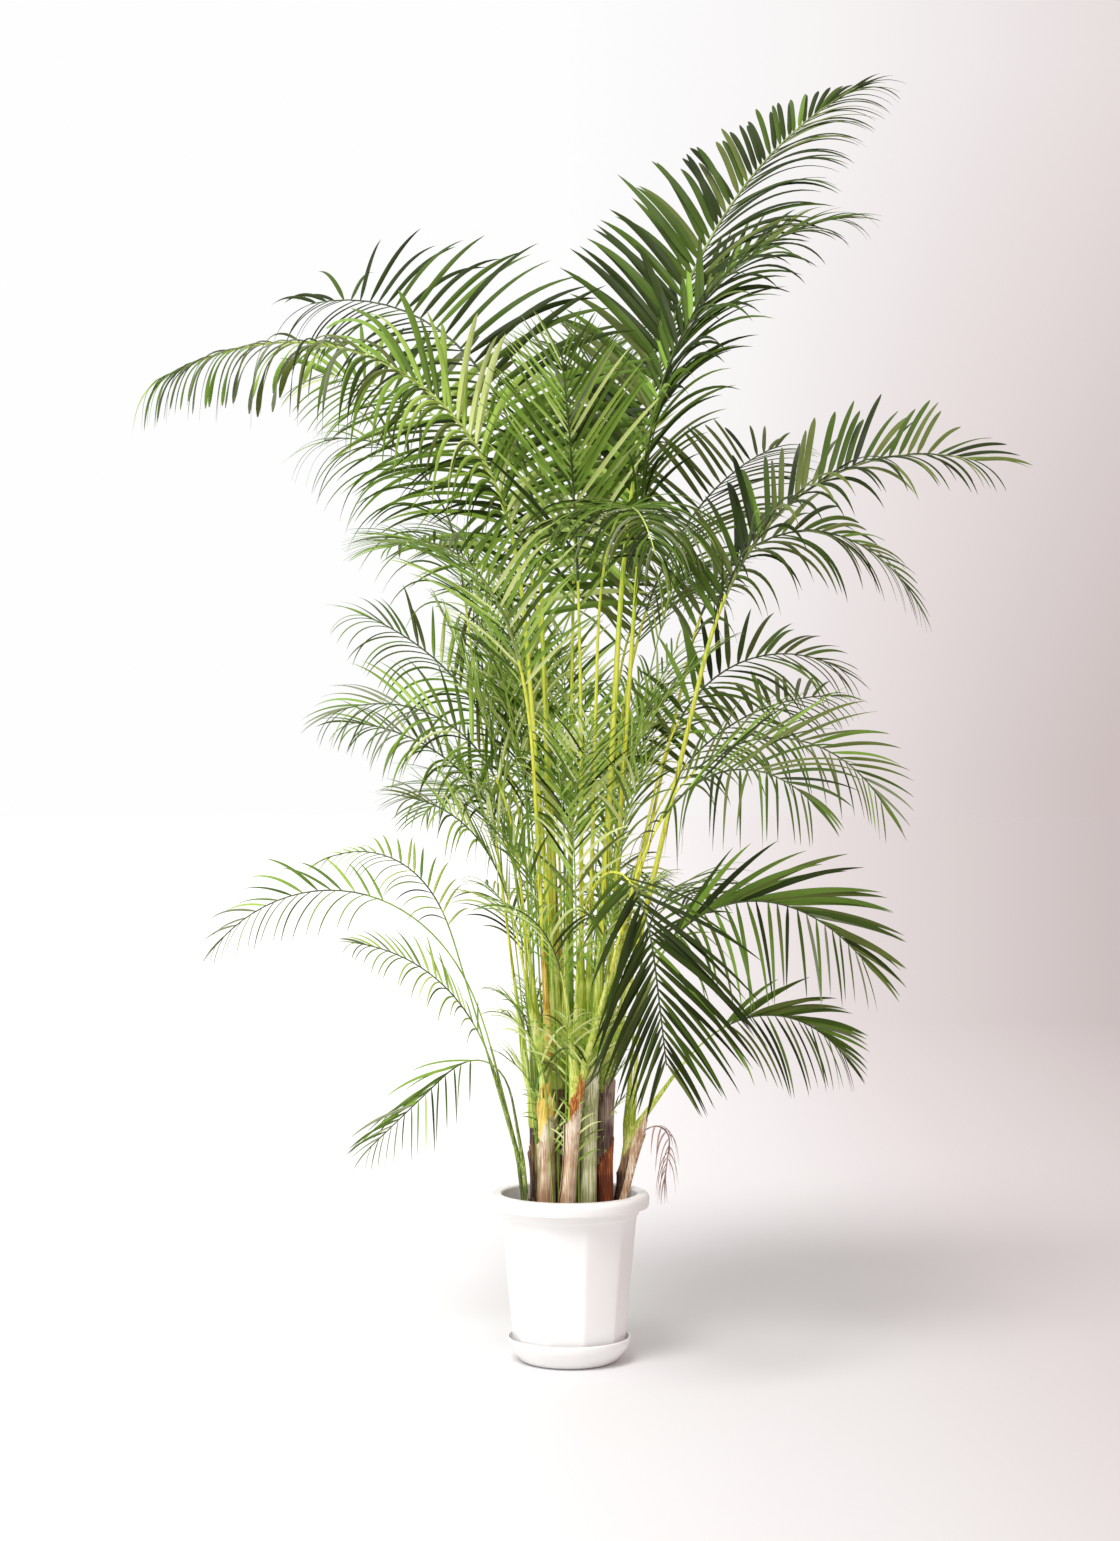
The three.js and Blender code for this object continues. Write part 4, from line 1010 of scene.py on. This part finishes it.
def blades(seats, sizes):
    """Closed folded blades as arrays: points of each leaflet's rings, faces and their map."""
    count = len(seats["length"])
    steps = sizes.segments
    shares = np.linspace(0, 1, steps + 1)
    way = seats["out"].copy()
    point = seats["root"].copy()
    stride = seats["length"][:, None] / steps
    width = (sizes.least_width + sizes.width_share * seats["length"]) * seats["broad"]
    rings = []
    for i, share in enumerate(shares):
        if i:
            pull = 2.0 * seats["droop"] * (0.3 + 1.4 * share) / steps
            way = unit(way - UP * pull[:, None])
            point = point + way * stride
        face = unit(seats["face"] - way * np.sum(seats["face"] * way, axis=1, keepdims=True))
        across = np.cross(way, face)
        turn = (seats["twist"] * share)[:, None]
        cos, sin = np.cos(turn), np.sin(turn)
        across, face = across * cos + face * sin, face * cos - across * sin
        # Narrow at the root, widest from a fifth on, and long and fine or else blunt at the tip.
        swell = 0.3 + 0.7 * math.sin(min(1, share / 0.22) * math.pi / 2)
        taper = lerp(max(0.02, (1 - share**3) ** 0.9), max(0.2, (1 - share**9) ** 0.6), seats["blunt"])
        half = (width * swell * taper / 2)[:, None]
        fold = math.radians(LEAF_FOLD * (1 - 0.6 * share))
        thick = sizes.thickness * (1 - 0.75 * share) / 2
        rings.append(np.stack([
            point - across * half * math.cos(fold) - face * half * math.sin(fold),
            point + face * thick,
            point + across * half * math.cos(fold) - face * half * math.sin(fold),
            point - face * thick,
        ], axis=1))
    points = np.stack(rings, axis=1).reshape(-1, 3)
    one = np.arange(4)
    two = (one + 1) % 4
    side = np.stack([one, two, two + 4, one + 4], axis=1)
    leaf = np.concatenate([
        (np.arange(steps)[:, None, None] * 4 + side).reshape(-1, 4),
        np.array([(3, 2, 1, 0)]),
        np.array([(0, 1, 2, 3)]) + steps * 4,
    ])
    faces = (np.arange(count)[:, None, None] * (steps + 1) * 4 + leaf).reshape(-1, 4)
    high, wide = np.meshgrid(shares, np.array([0.0, 0.5, 1.0, 0.5]), indexing="ij")
    maps = np.stack([wide, high], axis=-1).reshape(-1, 2)
    return points, faces, np.tile(maps, (count, 1))


def tones_of(frond, seats, chance):
    """The tone of each leaflet, as its place in LEAF_TONES: lighter in the middle, as painted light."""
    count = len(seats["length"])
    if frond["colour"] == "dry":
        return np.full(count, LEAF_TONES.index("dry"))
    place = seats["root"]
    reach = np.hypot(place[:, 0], place[:, 1])
    # Painted light: leaflets in the middle of the crown, where light shines through them, are lighter
    # and spread wider in tone.
    painted_light = (1 - smoothstep(reach, 0.08, 0.42)) * (1 - smoothstep(place[:, 2], 1.6, 2.1))
    spray = chance.normal(0, 1, count) * (0.7 + painted_light)
    value = frond["tone"] + PAINTED_LIGHT_TONE * painted_light + SIDE_TONE * seats["up"] + spray
    tones = np.clip(np.round(value), 0, LEAF_TONES.index("lime")).astype(int)
    pick = chance.uniform(0, 1, count)
    tones[pick < frond["olive"]] = LEAF_TONES.index("olive")
    # Painted reflection: some leaflets on the outer half take the grey that stands in for the sky's
    # sheen.
    tones[(pick > 1 - 2 * frond["sheen"]) & (seats["along"] > 0.5)] = LEAF_TONES.index("sheen")
    return tones


def nodes_of(name):
    """The CAD nodes of a frond: one, or two where it is parted at its bend."""
    parts = ("frond_" + name, "frond_" + name + "_tip")
    return [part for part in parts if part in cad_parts]


def shoot_fronds(seed):
    """Young shoots between the canes: a rib from the potting mix each, with short fine leaflets."""
    chance = np.random.default_rng(seed)
    shoots = []
    for count, length, bare, leaf, tip_lean, behind in SHOOTS:
        for i in range(count):
            turn = math.radians(i * SHOOT_TURN + chance.uniform(-15, 15))
            if behind:
                turn = turn % math.pi
            out = SHOOTS_REACH * math.sqrt(chance.uniform(0.05, 1))
            start = np.array([out * math.cos(turn), out * math.sin(turn), SOIL_TOP * MM])
            shoots.append((start, dict(
                heading=math.degrees(turn) + chance.uniform(-30, 30),
                length=chance.uniform(*length),
                lean=(chance.uniform(1, 7), chance.uniform(*tip_lean)),
                bend=(0.45, 1.2),
                bare=chance.uniform(*bare),
                leaf=chance.uniform(*leaf),
                roll=0,
                vee=20,
                droop=chance.uniform(0.2, 0.6),
                colour="bright",
                **dict(zip(LOOK_KEYS, SHOOT_LOOK)),
            )))
    return shoots


def all_fronds(seed):
    """Every frond and then every shoot, each with its rib and the CAD nodes that it replaces."""
    grown = [(frond, rib_of(frond), nodes_of(name)) for name, frond in FRONDS.items()]
    return grown + [(shoot, rib_from(start, shoot), []) for start, shoot in shoot_fronds(seed)]


class PALM_OT_pot(bpy.types.Operator):
    """Make the pot with its rolled rim and soft flats."""

    bl_idname = "palm.pot"
    bl_label = "Pot"

    def execute(self, context):
        sizes = context.scene.palm_pot
        bm = turned(pot_profile(sizes), 200)
        draw_flats(bm, sizes)
        keep(finished("pot_shell", bm, 50), pot_plastic(sizes.white), ["pot"])
        return {"FINISHED"}


class PALM_OT_saucer(bpy.types.Operator):
    """Make the saucer under the pot."""

    bl_idname = "palm.saucer"
    bl_label = "Saucer"

    def execute(self, context):
        sizes = context.scene.palm_pot
        bm = turned(saucer_profile(sizes), 160)
        look = bpy.data.materials.get("moulded_white_polypropylene") or pot_plastic(sizes.white)
        keep(finished("saucer_bowl", bm, 50), look, ["saucer"])
        return {"FINISHED"}


class PALM_OT_soil(bpy.types.Operator):
    """Make the potting mix and the bark chips on it."""

    bl_idname = "palm.soil"
    bl_label = "Potting mix"

    def execute(self, context):
        bm = turned(soil_profile(), 120)
        for vertex in bm.verts:
            if vertex.co.z > (SOIL_TOP - 8) * MM and vertex.co.xy.length < (OPENING_R - 8) * MM:
                vertex.co.z += CRUMB_HEIGHT * noise.fractal(vertex.co * 90, 0.9, 2.0, 3)
        keep(finished("potting_mix", bm, 180), potting_mix(), ["soil"])
        points, faces = chips(context.scene.palm_pot.bark_chips, CHIP_SEED, (OPENING_R - 12) * MM,
                              (SOIL_TOP - 1) * MM)
        keep(joined("bark_chips", points, faces, 20), bark_chip())
        return {"FINISHED"}


class PALM_OT_canes(bpy.types.Operator):
    """Make the canes with their leaf scars, one piece for each colour."""

    bl_idname = "palm.canes"
    bl_label = "Canes"

    def execute(self, context):
        for colour in ("green", "tan", "purple", "russet"):
            names = [name for name, cane in CANES.items() if cane["colour"] == colour]
            bm = bmesh.new()
            for name in names:
                grow_cane(bm, CANES[name], context.scene.palm_cane)
            bmesh.ops.recalc_face_normals(bm, faces=bm.faces)
            keep(finished("canes_" + colour, bm, 60), cane_skin(colour),
                 ["cane_" + name for name in names])
        return {"FINISHED"}


class PALM_OT_sheaths(bpy.types.Operator):
    """Make the torn old sheaths round the canes and the fresh ones on top of them."""

    bl_idname = "palm.sheaths"
    bl_label = "Sheaths"

    def execute(self, context):
        sizes = context.scene.palm_cane
        for look, slot in SHEATH_SLOTS.items():
            old = [values for *values, kind in OLD_SHEATHS if kind == look]
            if not old:
                continue
            bm = bmesh.new()
            for values in old:
                wrap_sheath(bm, *values, sizes)
            bmesh.ops.recalc_face_normals(bm, faces=bm.faces)
            keep(finished("old_sheaths_" + look, bm, 60), sheath_skin(look))
        clasps = {"fresh": [], "gold": [], "moss": []}
        layers = dict.fromkeys(CANES, 0)
        for frond in FRONDS.values():
            if frond["rib"] == "dry":
                continue
            cane = frond["cane"]
            look = "fresh"
            if cane in MOSS_CANES:
                look = "moss"
            elif cane in GOLD_CANES and not layers[cane]:
                look = "gold"
            clasps[look].append(clasp(frond, rib_of(frond), sizes.rib_swell, layers[cane]))
            layers[cane] += 1
        for look, parts in clasps.items():
            keep(joined("fresh_sheaths_" + look, *gathered(parts), 80), sheath_skin(look))
        return {"FINISHED"}


class PALM_OT_ribs(bpy.types.Operator):
    """Make the petioles and rachises of all fronds, one piece for each colour."""

    bl_idname = "palm.ribs"
    bl_label = "Ribs"

    def execute(self, context):
        swell = context.scene.palm_cane.rib_swell
        parts = {look: [] for look in RIB_SLOTS}
        stood = {look: [] for look in RIB_SLOTS}
        for frond, rib, nodes in all_fronds(context.scene.palm_leaflet.seed):
            low, high = RIB_COLOURS[frond["rib"]]
            blade = min(0.95, frond["bare"] + 0.05)
            for look, ends in ((low, (0.0, blade)), (high, (blade, 1.0))):
                parts[look].append(rib_rings(frond, rib, swell, *ends))
                stood[look] += nodes
        skins = dict(gold=petiole_skin(), dry=sheath_skin("plum"))
        for look, slot in RIB_SLOTS.items():
            keep(joined("ribs_" + look, *gathered(parts[look]), 80), skins.get(look) or rib_skin(look),
                 stood[look])
        return {"FINISHED"}


class PALM_OT_leaflets(bpy.types.Operator):
    """Make the leaflets of all fronds, one piece for each leaf tone."""

    bl_idname = "palm.leaflets"
    bl_label = "Leaflets"

    def execute(self, context):
        sizes = context.scene.palm_leaflet
        chance = np.random.default_rng(sizes.seed)
        dealt = {tone: [] for tone in LEAF_TONES}
        stood = {tone: [] for tone in LEAF_TONES}
        for frond, rib, nodes in all_fronds(sizes.seed):
            seats = leaf_seats(frond, rib, sizes, chance)
            numbers = tones_of(frond, seats, chance)
            for number, tone in enumerate(LEAF_TONES):
                picked = numbers == number
                if picked.any():
                    dealt[tone].append({key: values[picked] for key, values in seats.items()})
                    stood[tone] += nodes
        for tone, parts in dealt.items():
            if not parts:
                continue
            whole = {key: np.concatenate([part[key] for part in parts]) for key in parts[0]}
            points, faces, maps = blades(whole, sizes)
            keep(joined("leaflets_" + tone, points, faces, 40, maps), leaf_skin(tone),
                 stood[tone])
        return {"FINISHED"}


class PALM_OT_stage(bpy.types.Operator):
    """Make the studio: floor, light from the left and the camera."""

    bl_idname = "palm.stage"
    bl_label = "Studio"

    def execute(self, context):
        light = context.scene.palm_stage
        self.floor(light)
        self.lights(context, light)
        self.camera(context, light)
        return {"FINISHED"}

    def floor(self, light):
        """A wide round floor of white paper, shaded as the backdrop is."""
        bm = bmesh.new()
        bmesh.ops.create_circle(bm, cap_ends=True, radius=60, segments=64)
        floor = finished("studio_floor", bm)
        look, tree, shader, place = material("white_studio_paper", Roughness=1.0,
                                             Specular_IOR_Level=0.0)
        # Painted shade: pink grey at the right, fainter near the camera. Painted light: lighter at the
        # left, where it pales the shadow of the plant.
        spot = node(tree, "ShaderNodeSeparateXYZ", Vector=place)
        from_camera = node(tree, "ShaderNodeMapping", Vector=place,
                           Location=(0, light.camera_distance, 0), Scale=(1, 1, 0))
        length = node(tree, "ShaderNodeVectorMath", {"operation": "LENGTH"}, _0=from_camera)
        away = length.outputs["Value"]
        aside = node(tree, "ShaderNodeMath", {"operation": "DIVIDE"}, _0=spot.outputs["X"], _1=away)
        share = node(tree, "ShaderNodeMapRange", Value=away, From_Min=SHADE_NEAR, From_Max=SHADE_FAR,
                     To_Min=0.3, To_Max=1.0)
        shade = node(tree, "ShaderNodeMath", {"operation": "MULTIPLY_ADD"}, _0=aside, _1=share, _2=0.1)
        stops = [(0.05, "f4f4f4"), (0.1, "e2e1e1"), (0.15, "d6d3d3"), (0.2, "c8c1c1"),
                 (0.25, "bcb5b4"), (0.3, "b0a7a7")]
        plug(shader, Base_Color=node(tree, "ShaderNodeValToRGB", {"stops": stops}, Fac=shade))
        floor.data.materials.append(look)

    def lights(self, context, light):
        """A soft key light from the upper left and light from all round."""
        sun = bpy.data.lights.new("key_light", "SUN")
        sun.energy = light.sun_strength
        sun.angle = light.sun_softness
        lamp = bpy.data.objects.new("key_light", sun)
        lamp.rotation_euler = Vector(KEY_WAY).to_track_quat("-Z", "Y").to_euler()
        context.scene.collection.objects.link(lamp)
        world = bpy.data.worlds.new("studio_air")
        world.use_nodes = True
        tree = world.node_tree
        # White all round, but for a faint pink grey towards the right that is lighter higher up.
        way = node(tree, "ShaderNodeSeparateXYZ",
                   Vector=node(tree, "ShaderNodeTexCoord").outputs["Generated"])
        share = node(tree, "ShaderNodeMapRange", Value=way.outputs["Z"], From_Min=0.0, From_Max=0.25,
                     To_Min=1.0, To_Max=0.55)
        shade = node(tree, "ShaderNodeMath", {"operation": "MULTIPLY"}, _0=way.outputs["X"], _1=share)
        stops = [(0.0, "fefefe"), (0.05, "f8f5f5"), (0.1, "eae1e1"), (0.15, "dad0cf"), (0.2, "cdc0bf")]
        plug(tree.nodes["Background"], Strength=light.sky_strength,
             Color=node(tree, "ShaderNodeValToRGB", {"stops": stops}, Fac=shade))
        context.scene.world = world
        context.scene.view_settings.view_transform = "Standard"

    def camera(self, context, light):
        """The camera at the photograph's place, level and straight on."""
        lens = bpy.data.cameras.new("camera")
        lens.lens = light.lens
        lens.sensor_width = 36
        camera = bpy.data.objects.new("camera", lens)
        camera.location = (light.camera_side, -light.camera_distance, light.camera_height)
        camera.rotation_euler = (math.pi / 2, 0, 0)
        context.scene.collection.objects.link(camera)
        context.scene.camera = camera


class PALM_PT_panel(bpy.types.Panel):
    """Sizes and steps of the potted palm."""

    bl_label = "Potted Palm"
    bl_space_type = "VIEW_3D"
    bl_region_type = "UI"
    bl_category = "Palm"

    def draw(self, context):
        for group in GROUPS:
            settings = getattr(context.scene, group)
            box = self.layout.box()
            for key in settings.__annotations__:
                box.prop(settings, key)
        for step in STEPS:
            self.layout.operator(step.bl_idname)


GROUPS = dict(palm_pot=PalmPotSizes, palm_cane=PalmCaneSizes, palm_leaflet=PalmLeafletSizes,
              palm_stage=PalmStageLight)
STEPS = (PALM_OT_stage, PALM_OT_pot, PALM_OT_saucer, PALM_OT_soil, PALM_OT_canes, PALM_OT_sheaths,
         PALM_OT_ribs, PALM_OT_leaflets)


def register():
    for kind in (*GROUPS.values(), *STEPS, PALM_PT_panel):
        bpy.utils.register_class(kind)
    for key, group in GROUPS.items():
        setattr(bpy.types.Scene, key, bpy.props.PointerProperty(type=group))


def unregister():
    for key in GROUPS:
        delattr(bpy.types.Scene, key)
    for kind in reversed((*GROUPS.values(), *STEPS, PALM_PT_panel)):
        bpy.utils.unregister_class(kind)


def main():
    register()
    for step in STEPS:
        getattr(bpy.ops.palm, step.bl_idname.split(".")[1])()


if __name__ == "__main__":
    main()
